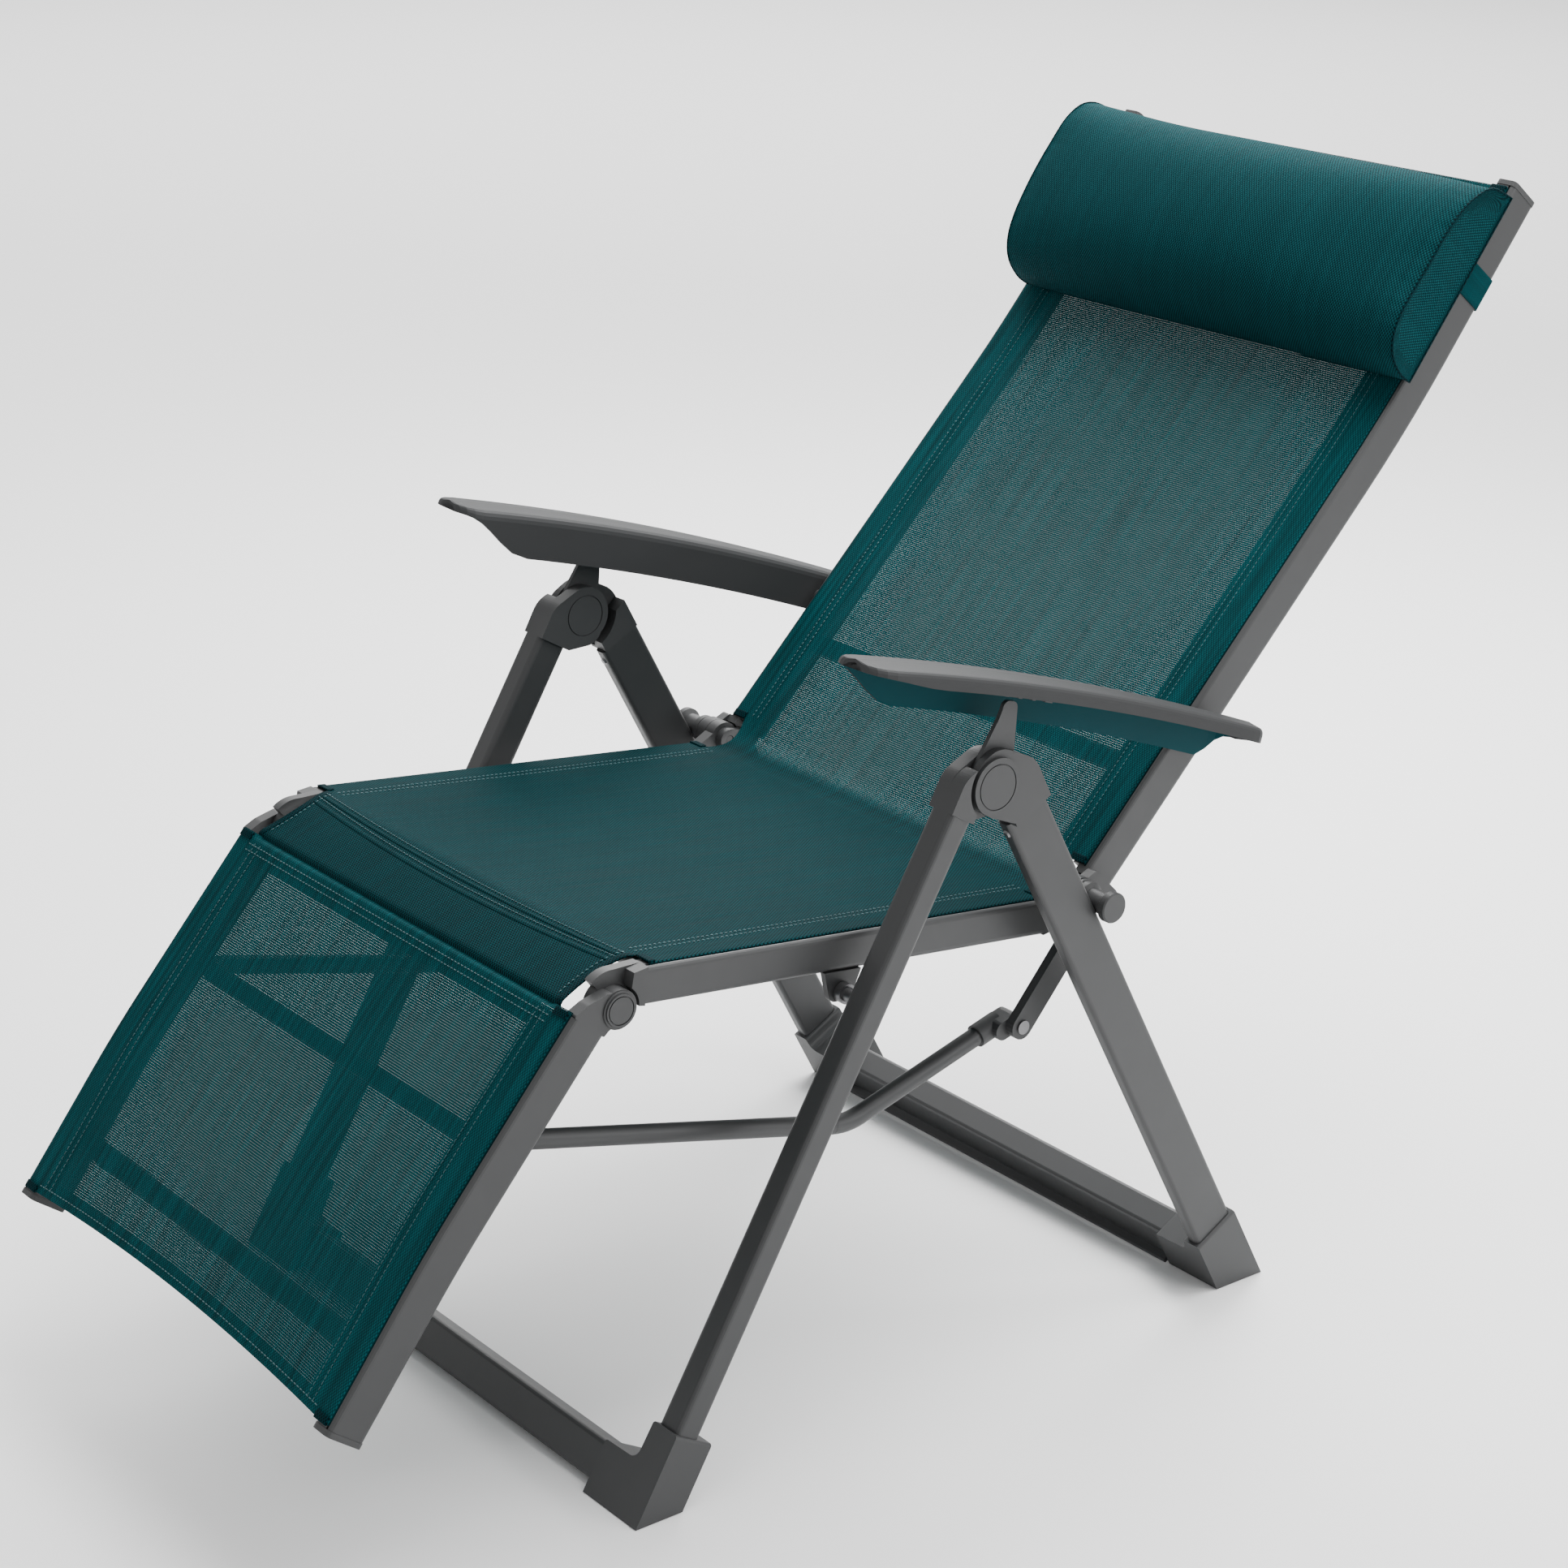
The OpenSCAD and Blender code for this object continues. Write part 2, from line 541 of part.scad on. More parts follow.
// Lower casting of the back rail with the outer hinge eye
module back_eye() color(cast_grey) at(back_hinge, back_angle) difference() {
  union() {
    slab(back_eye_in, back_eye_out) polygon(rounded([
      [back_split, 0, 4], [back_split, -back_rail_d, 4], [12, -back_rail_d - 2, 6],
      [-eye_r * 0.7, -eye_r * 0.75, 4], [-eye_r * 0.5, eye_r * 0.85, 4]], 5));
    rod(eye_r, back_eye_in, back_eye_out);
    difference() {
      slab(seat_eye_in, back_eye_in + 1) polygon([[back_split, -0.5], [back_split, -back_rail_d + 0.5],
        [14, -back_rail_d], [10, -18], [16, -0.5]]);
      rod(eye_r + 2, 0, back_eye_in);
    }
    run(back_split - 1, back_split + 22) polygon(box_outline(rail_in + rail_wall + 0.1,
      frame_half_w - rail_wall - 0.1, -back_rail_d + rail_wall + 0.1, -groove_deep - piping_r - rail_wall - 0.1, 3));
  }
  rod(pin_r + pin_play, 0, 400);
}

lever_end = [-lever_drop, -lever_set];
lever_knee = [-7, -50];
function capsule(p, q, r, n = 10) = let (a = atan2(q[1] - p[1], q[0] - p[0])) concat(
  [for (i = [0 : n]) q + r * [cos(a - 90 + 180 * i / n), sin(a - 90 + 180 * i / n)]],
  [for (i = [0 : n]) p + r * [cos(a + 90 + 180 * i / n), sin(a + 90 + 180 * i / n)]]);

// Bent lever from the back hinge down to the push bar
module lever() color(cast_grey) at(back_hinge, back_angle) difference() {
  slab(lever_in, lever_in + lever_t) {
    polygon(capsule([8, -14], lever_knee, lever_w / 2));
    polygon(capsule(lever_knee, lever_end, lever_w / 2));
    circle(r = lever_w / 2 - 1);
    polygon(capsule([0, 0], [8, -14], lever_w / 2 - 1));
  }
  rod(pin_r + 0.6, 0, 400);
  translate([0, lever_end[0], lever_end[1]]) rod(pin_r + pin_play, 0, 400);
}

back_bar_z = -back_rail_d / 2;
module cross_tube() difference() {
  rod(crossbar_r, -rail_in, rail_in);
  rod(crossbar_r - 1.5, -rail_in - 1, rail_in + 1);
}
module back_crossbar_low() color(frame_grey) at(back_hinge, back_angle)
  translate([0, back_bar_reach, back_bar_z]) cross_tube();
module back_crossbar_top() color(frame_grey) at(back_hinge, back_angle)
  past_bend(back_straight, back_bend_r, back_bend) translate([0, back_upper - 16, back_bar_z + 4]) cross_tube();

module end_cap(depth) {
  run(0, 5) polygon(box_outline(rail_in - 0.5, frame_half_w + 0.5, -depth - 0.5, 0.5, rail_edge));
  run(-20, 1) polygon(box_outline(rail_in + rail_wall + 0.1, frame_half_w - rail_wall - 0.1,
    -depth + rail_wall + 0.1, -groove_deep - piping_r - rail_wall - 0.1, 3));
}
module back_caps() color(cast_grey) both() at(back_hinge, back_angle)
  past_bend(back_straight, back_bend_r, back_bend) translate([0, back_upper, 0]) end_cap(back_rail_d);

// Short studs that carry the armrests on the back rails
module arm_joint_studs() color(steel) both() at(back_hinge, back_angle)
  translate([0, arm_joint_reach, -12]) {
    rod(9, frame_half_w, frame_half_w + 2.6);
  }

module back_sling() color(cloth_teal) at(back_hinge, back_angle) {
  bent_run(back_split + 1, back_straight, back_bend_r, back_bend, back_upper - 3) sling_section();
  run(8, back_split + 2) inner_sheet();
}

// Bolster with a flat back and a full round front
function bolster(n, w, h) = [for (i = [0 : n]) let (t = 180 * i / n, c = cos(t), s = sin(t))
  [w / 2 * sign(c) * pow(abs(c), 0.8), h * pow(s, 0.72)]];
cushion_z = cloth_hi + 1.6 + strap_t;
cushion_half = frame_half_w - cushion_inset;
module head_cushion() color(cloth_teal) at(back_hinge, back_angle)
  past_bend(back_straight, back_bend_r, back_bend)
    translate([0, cushion_reach - back_straight - back_bend_r * back_bend * PI / 180, cushion_z])
      cushion_body();

cushion_rings = 9;
cushion_seg = 28;
// The ends draw in a little where the end panels are sewn on
function cushion_x(j) = let (t = j / cushion_rings) -cushion_half * cos(180 * t);
function cushion_scale(j) = let (t = abs(2 * j / cushion_rings - 1)) 1 - 0.05 * pow(t, 8);
function cushion_ring(j) = [for (p = bolster(cushion_seg, cushion_w, cushion_h))
  [cushion_x(j), p[0] * cushion_scale(j), p[1] * cushion_scale(j)]];
module cushion_body() {
  n = cushion_seg + 1;
  pts = [for (j = [0 : cushion_rings]) each cushion_ring(j)];
  sides = [for (j = [0 : cushion_rings - 1]) for (i = [0 : n - 1])
    let (a = j * n + i, b = j * n + (i + 1) % n) each [[a, b, b + n], [a, b + n, a + n]]];
  first = [for (i = [1 : n - 2]) [0, i + 1, i]];
  last = [for (i = [1 : n - 2]) [cushion_rings * n, cushion_rings * n + i, cushion_rings * n + i + 1]];
  polyhedron(points = pts, faces = concat(sides, first, last), convexity = 4);
}

// Elastic strap round both back rails, under the cushion
module cushion_strap() color(cloth_teal) at(back_hinge, back_angle)
  past_bend(back_straight, back_bend_r, back_bend)
    translate([0, cushion_reach + 18 - back_straight - back_bend_r * back_bend * PI / 180, 0]) run(-strap_w / 2, strap_w / 2) difference() {
      polygon(box_outline(-frame_half_w - 0.3 - strap_t, frame_half_w + 0.3 + strap_t,
        -back_rail_d - 0.3 - strap_t, cloth_hi + 0.4 + strap_t, rail_edge + 1));
      polygon(box_outline(-frame_half_w - 0.3, frame_half_w + 0.3, -back_rail_d - 0.3, cloth_hi + 0.4, rail_edge));
    }

// Footrest frame: y runs up to the knee, z to the front
foot_back = -1.5;
foot_top = foot_back + foot_rail_d;
foot_split = -25;
module foot_frame() at(knee, foot_angle) children();
module foot_run(y0, end) rotate([180, 0, 0])
  bent_run(-y0, foot_straight, foot_bend_r, foot_bend, foot_lower + end) mirror([0, 1]) children();
module foot_rail() color(frame_grey) foot_frame()
  foot_run(foot_split, 0) translate([0, foot_top]) rail_section(foot_rail_d);

// Upper casting of the footrest rail: outer cheek round the knee pin
module foot_knee() color(cast_grey) foot_frame() difference() {
  union() {
    slab(seat_eye_in + 0.3, frame_half_w) polygon(rounded([
      [foot_split, foot_back, 2], [foot_split, foot_top, 2], [foot_split + 14, foot_top - 6, 14],
      [8, 17, 12], [12, -8, 4], [-8, -12, 6], [foot_split + 8, foot_back - 1, 8]], 6));
    rod(17, seat_eye_in + 0.3, frame_half_w);
    rod(knee_cap_r + 2, frame_half_w - 1, frame_half_w + 1.4);
    run(foot_split - 20, foot_split + 1) translate([0, foot_top]) polygon(box_outline(rail_in + rail_wall + 0.1,
      frame_half_w - rail_wall - 0.1, -foot_rail_d + rail_wall + 0.1, -groove_deep - piping_r - rail_wall - 0.1, 3));
    rod(knee_cap_r, frame_half_w, knee_cap_out);
  }
  rod(pin_r + pin_play, 0, frame_half_w + 0.6);
  translate([knee_cap_out, 0, 0]) mirror([1, 0, 0]) ring_groove(knee_cap_r - 1.5, 0, 1);
}

module knee_pins() color(steel) both() at(knee, 0) {
  rod(pin_r, rail_in - 2.6, frame_half_w + 0.4);
  rod(pin_r + 3, rail_in - 2.6, rail_in - 0.2);
}

module foot_caps() color(cast_grey) both() foot_frame() rotate([180, 0, 0])
  past_bend(foot_straight, foot_bend_r, foot_bend) translate([0, foot_lower, 0]) mirror([0, 0, 1])
    translate([0, 0, foot_top]) end_cap(foot_rail_d);

module foot_crossbar() color(frame_grey) foot_frame() rotate([180, 0, 0])
  past_bend(foot_straight, foot_bend_r, foot_bend)
    translate([0, foot_lower - 62, -(foot_back + foot_rail_d / 2 + 4)]) cross_tube();

// Plates on the inner faces of the footrest rails, with a wide eye for the push bar's stub
stub_r = 4;
fork_eye = stub_r + fork_way;
module foot_forks() color(cast_grey) both() foot_frame() translate([0, -push_joint_drop, push_joint_set])
  difference() {
    slab(rail_in - fork_t, rail_in - 0.05) polygon(rounded([[-20, -14, 6], [20, -14, 6], [20, 14, 6], [-20, 14, 6]], 5));
    translate([0, -2.6, 1.9]) rod(fork_eye, 0, 400);
  }

module foot_sling() color(cloth_teal) foot_frame() foot_run(foot_split - 3, -3) translate([0, foot_top]) sling_section();

// Push bar: two cranked arms joined by a cross tube that turns in the forks
push_rear = back_hinge + turn(lever_end, back_angle);
push_front = knee + turn([-push_joint_drop, push_joint_set], foot_angle);
push_span = norm(push_rear - push_front);
push_a = atan2(push_rear[1] - push_front[1], push_rear[0] - push_front[0]);
push_low_y = push_span - 178;
push_corner_r = 26;
// A drawn tube swells a little where it is bent
bend_swell = 0.15;
low_a0 = atan2(-push_sag, push_low_y);
low_a1 = atan2(push_sag, push_span - push_low_y);
push_turn = low_a1 - low_a0;
push_cut = push_bend_r * tan(push_turn / 2);
push_arm0 = norm([push_low_y, push_sag]) - push_cut;
push_arm1 = norm([push_span - push_low_y, push_sag]) - push_cut - 22;
module push_bar() color(frame_grey) at(push_front, push_a) rotate([low_a0, 0, 0]) {
  rod(push_d / 2, -push_x + push_corner_r - seam, push_x - push_corner_r + seam);
  both() {
    translate([push_x - push_corner_r, push_corner_r, 0]) rotate([0, 0, -90])
      rotate_extrude(angle = 90) translate([push_corner_r, 0]) circle(r = push_d / 2 + bend_swell);
    bent_run(push_corner_r - seam, push_arm0, push_bend_r, push_turn, push_arm1, 72)
      translate([push_x, 0]) circle(r = push_d / 2 + ($grow > 0 ? bend_swell : 0));
    rod(stub_r, push_x - push_corner_r, rail_in - 0.6);
  }
}

module push_ends() color(cast_grey) both() at(push_rear, push_a + low_a1) difference() {
  union() {
    translate([push_x, -34, 0]) rotate([-90, 0, 0]) cylinder(r = push_d / 2 + 2.2, h = 26);
    slab(push_x - 5, lever_in - side_gap) polygon(capsule([-14, 0], [0, 0], 9));
  }
  translate([push_x, -60, 0]) rotate([-90, 0, 0]) cylinder(r = push_d / 2 + 0.15, h = 60 - 21.5);
  rod(pin_r + pin_play, 0, 400);
}

module push_pins() color(steel) both() at(push_rear, 0) {
  rod(pin_r, push_x - 8, lever_in + lever_t + 1.6);
  rod(pin_r + 2.5, push_x - 8, push_x - 5.2);
  rod(pin_r + 2.5, lever_in + lever_t + 0.2, lever_in + lever_t + 2);
}

// Armrest: an inverted channel lofted along its length, y to the rear, z up,
// with its origin over the support plate
arm_seg = 8;
arm_stations = 30;
function smooth(t) = let (c = max(0, min(1, t))) c * c * (3 - 2 * c);
function arm_y(j) = -arm_front + arm_len * (1 - cos(180 * j / arm_stations)) / 2;
function nose(y) = smooth((y + arm_front) / 78);
function tail(y) = smooth((arm_len - arm_front - y) / 34);
function arm_top(y) = 18 - pow((y - 40) / 210, 2) * 7;
function arm_half(y) = let (f = (y + arm_front) / arm_len,
    r = min(1, sqrt(max(0, 1 - pow(1 - min(1, (y + arm_front) / 22), 2)))),
    q = min(1, sqrt(max(0, 1 - pow(1 - min(1, (arm_len - arm_front - y) / 16), 2)))))
  max(arm_w * 0.2, (arm_w / 2 - 5 * f) * (0.35 + 0.65 * r) * (0.5 + 0.5 * q));
function skirt_in(y) = 7 + (arm_skirt - 7) * nose(y) * (0.3 + 0.7 * tail(y));
function skirt_out(y) = 6.4 + (arm_rim - 6.4) * nose(y);
// Closed section: outer surface from the inner skirt over the top to the rim, and back inside
function arm_section(y) = let (w = arm_half(y), t = arm_top(y), a = skirt_in(y), b = skirt_out(y),
    k = arm_wall, cr = min(9, w * 0.5, a - 1.2), cx = arm_w / 2)
  concat(
    [[cx - w, y, t - a], [cx - w, y, t - cr]],
    [for (i = [1 : 4]) [cx - w + cr * (1 - cos(22.5 * i)), y, t - cr + cr * sin(22.5 * i)]],
    [[cx, y, t + 1.6]],
    [for (i = [0 : 4]) [cx + w - 6 * (1 - sin(22.5 * i)), y, t - 6 * (1 - cos(22.5 * i))]],
    [[cx + w, y, t - b], [cx + w - k, y, t - b]],
    [[cx + w - k, y, t - 6], [cx + w - k - 3, y, t - k - 0.6]],
    [[cx, y, t + 1.6 - k]],
    [[cx - w + k + cr * 0.6, y, t - k - 0.6], [cx - w + k, y, t - k - cr * 0.6], [cx - w + k, y, t - a]]);
module arm_shell() {
  n = len(arm_section(0));
  pts = [for (j = [0 : arm_stations]) each arm_section(arm_y(j))];
  sides = [for (j = [0 : arm_stations - 1]) for (i = [0 : n - 1])
    let (a = j * n + i, b = j * n + (i + 1) % n) each [[a, b + n, b], [a, a + n, b + n]]];
  polyhedron(points = pts, faces = concat(sides, [[for (i = [0 : n - 1]) i]],
    [[for (i = [n - 1 : -1 : 0]) arm_stations * n + i]]), convexity = 6);
}
module arm_frame() at(support_tip, -arm_slope) translate([arm_in, 0, 0]) children();
module armrest() color(frame_grey) arm_frame() arm_shell();

// Notched rack under the armrest's top, over the rounded tip of the support plate
module arm_rack() color(cast_grey) arm_frame()
  slab(support_in - arm_in - 2, support_in - arm_in + support_t + 2) difference() {
    polygon(concat([[-(notches_front + 0.9) * notch_pitch, rack_gap], [(notches_rear + 0.9) * notch_pitch, rack_gap]],
      [for (i = [notches_rear + 0.9 : -0.7 : -notches_front - 1]) [i * notch_pitch, arm_top(i * notch_pitch) + 0.3 - arm_wall]]));
    for (i = [-notches_front : notches_rear]) translate([i * notch_pitch, rack_gap - 1]) circle(r = notch_r);
  }

side(1) front_leg();  // front_leg_left
side(-1) front_leg();  // front_leg_right
side(1) front_head();  // front_head_left
side(-1) front_head();  // front_head_right
side(1) front_shoe();  // front_shoe_left
side(-1) front_shoe();  // front_shoe_right
front_floor_bar();
side(1) arm_support();  // arm_support_left
side(-1) arm_support();  // arm_support_right
leg_joint_pins();
seat_pivot_pins();
side(1) rear_leg();  // rear_leg_left
side(-1) rear_leg();  // rear_leg_right
side(1) rear_head();  // rear_head_left
side(-1) rear_head();  // rear_head_right
side(1) rear_shoe();  // rear_shoe_left
side(-1) rear_shoe();  // rear_shoe_right
rear_floor_bar();
rear_leg_screws();
side(1) seat_rail();  // seat_rail_left
side(-1) seat_rail();  // seat_rail_right
side(1) seat_knee();  // seat_knee_left
side(-1) seat_knee();  // seat_knee_right
side(1) seat_eye();  // seat_eye_left
side(-1) seat_eye();  // seat_eye_right
side(1) seat_hanger();  // seat_hanger_left
side(-1) seat_hanger();  // seat_hanger_right
side(1) spool();  // spool_left
side(-1) spool();  // spool_right
seat_crossbar();
seat_sling();
side(1) back_rail();  // back_rail_left
side(-1) back_rail();  // back_rail_right
side(1) back_eye();  // back_eye_left
side(-1) back_eye();  // back_eye_right
side(1) lever();  // lever_left
side(-1) lever();  // lever_right
back_crossbar_low();
back_crossbar_top();
back_caps();
arm_joint_studs();
back_sling();
head_cushion();
cushion_strap();
push_bar();
push_ends();
push_pins();
side(1) foot_rail();  // foot_rail_left
side(-1) foot_rail();  // foot_rail_right
side(1) foot_knee();  // foot_knee_left
side(-1) foot_knee();  // foot_knee_right
knee_pins();
foot_caps();
foot_crossbar();
foot_forks();
foot_sling();
side(1) armrest();  // armrest_left
side(-1) armrest();  // armrest_right
side(1) arm_rack();  // arm_rack_left
side(-1) arm_rack();  // arm_rack_right
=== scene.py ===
"""Looks of the folding relax armchair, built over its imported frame.

The frame carries every rigid part. This script gives those parts their finishes, weaves, hems and
stitches the sling, stuffs the head cushion and puts the elastic strap on.
"""

import json
import logging
import math
from dataclasses import dataclass, field, replace
from enum import Enum
from typing import Callable, Dict, List, Optional, Sequence, Tuple

import bpy
import numpy as np
from mathutils import Matrix, Vector

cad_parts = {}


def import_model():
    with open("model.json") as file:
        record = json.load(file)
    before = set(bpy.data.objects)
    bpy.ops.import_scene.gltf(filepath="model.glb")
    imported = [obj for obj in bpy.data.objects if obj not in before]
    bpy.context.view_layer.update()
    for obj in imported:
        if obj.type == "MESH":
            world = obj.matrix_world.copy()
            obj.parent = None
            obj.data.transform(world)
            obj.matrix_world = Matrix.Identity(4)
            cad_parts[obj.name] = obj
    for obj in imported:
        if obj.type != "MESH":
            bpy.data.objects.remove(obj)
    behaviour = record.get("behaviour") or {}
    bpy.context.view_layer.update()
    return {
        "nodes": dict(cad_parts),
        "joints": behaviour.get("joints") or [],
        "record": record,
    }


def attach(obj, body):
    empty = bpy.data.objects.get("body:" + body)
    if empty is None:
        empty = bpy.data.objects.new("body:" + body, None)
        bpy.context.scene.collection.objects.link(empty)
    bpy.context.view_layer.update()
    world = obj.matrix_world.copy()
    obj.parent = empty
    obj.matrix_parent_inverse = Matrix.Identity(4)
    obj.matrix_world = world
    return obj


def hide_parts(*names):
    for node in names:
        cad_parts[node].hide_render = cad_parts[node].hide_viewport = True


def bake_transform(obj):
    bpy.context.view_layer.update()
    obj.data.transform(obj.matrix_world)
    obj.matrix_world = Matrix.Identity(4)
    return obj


LOG = logging.getLogger("relax_armchair")
MM = 0.001
SIDES = (-1, 1)
STITCH, STITCH_GAP, THREAD = 3.4 * MM, 1.5 * MM, 0.85 * MM

Face = Tuple[int, ...]
Material = bpy.types.Material
Object = bpy.types.Object
Pair = Tuple[float, float]
Point = Tuple[float, float, float]
Socket = bpy.types.NodeSocket
Line = Sequence[Pair]
Strip = Sequence[Line]
Factor = Callable[[float], float]
SideLine = Callable[[float, float], Pair]


class Slot(str, Enum):
    """Names of the record's material slots."""

    FRAME = "frame"
    CASTING = "casting"
    ARM = "arm_plastic"
    SLING = "sling"
    CUSHION = "cushion"
    STRAP = "strap"
    STEEL = "steel"


# Materials


class Recipe:
    """A material under construction."""

    def __init__(self, name: str) -> None:
        """Start an empty material with a principled shader.

        Args:
            name: Name of the material.
        """
        self.material = bpy.data.materials.new(name)
        self.material.use_nodes = True
        self.tree = self.material.node_tree
        self.tree.nodes.clear()
        self.shader = self.tree.nodes.new("ShaderNodeBsdfPrincipled")
        output = self.tree.nodes.new("ShaderNodeOutputMaterial")
        self.tree.links.new(self.shader.outputs[0], output.inputs["Surface"])

    def feed(self, target: Socket, value: object) -> None:
        """Link a socket or set a constant.

        Args:
            target: Input to feed.
            value: Output socket, number, or colour.
        """
        if isinstance(value, Socket):
            self.tree.links.new(value, target)
        else:
            target.default_value = value

    def node(self, kind: str, inputs: Dict[object, object], **settings: object) -> bpy.types.Node:
        """Add a node.

        Args:
            kind: Node type, without the ShaderNode that all of them begin with.
            inputs: Values or sockets by input name or number.
            **settings: Node properties.

        Returns:
            The new node.
        """
        made = self.tree.nodes.new("ShaderNode" + kind)
        for key, value in settings.items():
            setattr(made, key, value)
        for key, value in inputs.items():
            self.feed(made.inputs[key], value)
        return made

    def calc(self, operation: str, *values: object) -> Socket:
        """Return the result of a math node on one to three numbers or sockets."""
        return self.node("Math", dict(enumerate(values)), operation=operation).outputs[0]

    def mix(self, share: object, first: object, second: object) -> Socket:
        """Return a mix of two colours, by the share of the second."""
        return self.node("Mix", {0: share, 6: first, 7: second}, data_type="RGBA").outputs[2]

    def place(self, kind: str = "Object") -> Socket:
        """Return the texture coordinate of a kind, such as Object or UV."""
        return self.node("TexCoord", {}).outputs[kind]

    def noise(self, place: object, scale: float, detail: float = 2.0) -> Socket:
        """Return a noise from 0 to 1, its scale in cycles per metre."""
        return self.node("TexNoise", {"Vector": place, "Scale": scale, "Detail": detail}).outputs["Fac"]

    def stretched(self, place: object, scale: Point) -> Socket:
        """Return a coordinate scaled by axis."""
        return self.node("VectorMath", {0: place, 1: scale}, operation="MULTIPLY").outputs[0]

    def span(self, value: object, low: float, high: float) -> Socket:
        """Map 0..1 to low..high."""
        return self.calc("MULTIPLY_ADD", value, high - low, low)

    def around(self, value: object, middle: float, spread: float) -> Socket:
        """Map 0..1 to a spread on both sides of a middle value."""
        return self.span(value, middle - spread, middle + spread)

    def uneven(self, middle: float, broad: object, share: float, fine: object, spread: float) -> Socket:
        """Return a value with a broad and a fine unevenness about its middle."""
        return self.calc("ADD", self.around(broad, middle, share), self.around(fine, 0.0, spread))

    def tone(self, colour: object, factor: object) -> Socket:
        """Return a colour multiplied by a value."""
        return self.node("VectorMath", {0: colour, "Scale": factor}, operation="SCALE").outputs[0]

    def bump(self, height: object, distance: float, strength: float) -> None:
        """Feed the shader's normal from a height of 0 to 1, which stands for a distance in metres."""
        made = self.node("Bump", {"Height": height, "Distance": distance, "Strength": strength})
        self.feed(self.shader.inputs["Normal"], made.outputs[0])

    def set(self, **values: object) -> None:
        """Set or link shader inputs; underscores in the names stand for blanks."""
        for name, value in values.items():
            self.feed(self.shader.inputs[name.replace("_", " ")], value)


@dataclass(frozen=True)
class PaintedMetal:
    """Powder coat over aluminium tube, with a fine orange peel."""

    name: str
    colour: Point
    roughness: float = 0.46
    metallic: float = 0.25
    shade: float = 0.07
    spread: float = 0.05
    grain: float = 900.0
    grain_height: float = 0.06 * MM

    def make(self) -> Material:
        """Make the material.

        Returns:
            The material.
        """
        r = Recipe(self.name)
        here = r.place()
        fine = r.noise(here, self.grain, 3.0)
        broad = r.noise(here, 14.0, 3.0)
        rubbed = r.noise(r.stretched(here, (60.0, 9.0, 9.0)), 6.0, 4.0)
        shade = r.uneven(1.0, broad, self.shade, fine, self.spread)
        roughness = r.uneven(self.roughness, rubbed, self.spread, fine, self.spread)
        r.set(Base_Color=r.tone(self.colour, shade), Roughness=roughness, Metallic=self.metallic)
        r.bump(fine, self.grain_height, 0.5)
        return r.material


@dataclass(frozen=True)
class MouldedPlastic:
    """Glass-filled nylon from an etched mould; the hollow below it may get a painted teal shade."""

    name: str
    colour: Point
    roughness: float = 0.5
    specular: float = 0.4
    shade: float = 0.1
    spread: float = 0.06
    grain: float = 1500.0
    grain_height: float = 0.08 * MM
    # Teal colour of the shade painted on the faces inside the hollow
    hollow_shade: Optional[Point] = None
    hollow_middle: float = 295.4 * MM

    def make(self) -> Material:
        """Make the material.

        Returns:
            The material.
        """
        r = Recipe(self.name)
        here = r.place()
        fine = r.noise(here, self.grain)
        flow = r.noise(r.stretched(here, (1.0, 0.35, 1.0)), 22.0, 4.0)
        shade = r.uneven(1.0, flow, self.shade, fine, self.spread)
        colour = r.tone(self.colour, shade)
        if self.hollow_shade is not None:
            # Painted shade: faces inside the hollow take the teal shade colour
            colour = r.mix(self.inside(r, here), colour, r.tone(self.hollow_shade, shade))
        roughness = r.uneven(self.roughness, flow, 0.04, fine, self.spread)
        r.set(Base_Color=colour, Roughness=roughness, Specular_IOR_Level=self.specular)
        r.bump(fine, self.grain_height, 0.6)
        return r.material

    def inside(self, r: Recipe, here: object) -> Socket:
        """Mask of the faces that look into the hollow of an armrest, where the teal shade is painted.

        Args:
            r: The recipe.
            here: Object coordinate.

        Returns:
            1 on the hollow's walls and ceiling, 0 elsewhere.
        """
        x = r.node("SeparateXYZ", {0: here}).outputs[0]
        normal = r.node("NewGeometry", {}).outputs["True Normal"]
        facing = r.node("SeparateXYZ", {0: normal})
        off = r.calc("SUBTRACT", r.calc("ABSOLUTE", x), self.hollow_middle)
        outward = r.calc("MULTIPLY", facing.outputs[0], r.calc("SIGN", x))
        wall = r.calc("LESS_THAN", r.calc("MULTIPLY", r.calc("SIGN", off), outward), -0.35)
        ceiling = r.calc("LESS_THAN", facing.outputs[2], -0.75)
        return r.calc("MAXIMUM", wall, ceiling)


@dataclass(frozen=True)
class TurnedSteel:
    """Zinc-plated pins and studs with turning marks."""

    name: str = "turned_steel"
    colour: Point = (0.2, 0.2, 0.205)

    def make(self) -> Material:
        """Make the material.

        Returns:
            The material.
        """
        r = Recipe(self.name)
        marks = r.noise(r.stretched(r.place(), (3000.0, 200.0, 200.0)), 1.0)
        shade = r.span(marks, 0.85, 1.1)
        r.set(Base_Color=r.tone(self.colour, shade), Metallic=1.0, Roughness=r.span(marks, 0.38, 0.5))
        r.bump(marks, 0.03 * MM, 0.5)
        return r.material


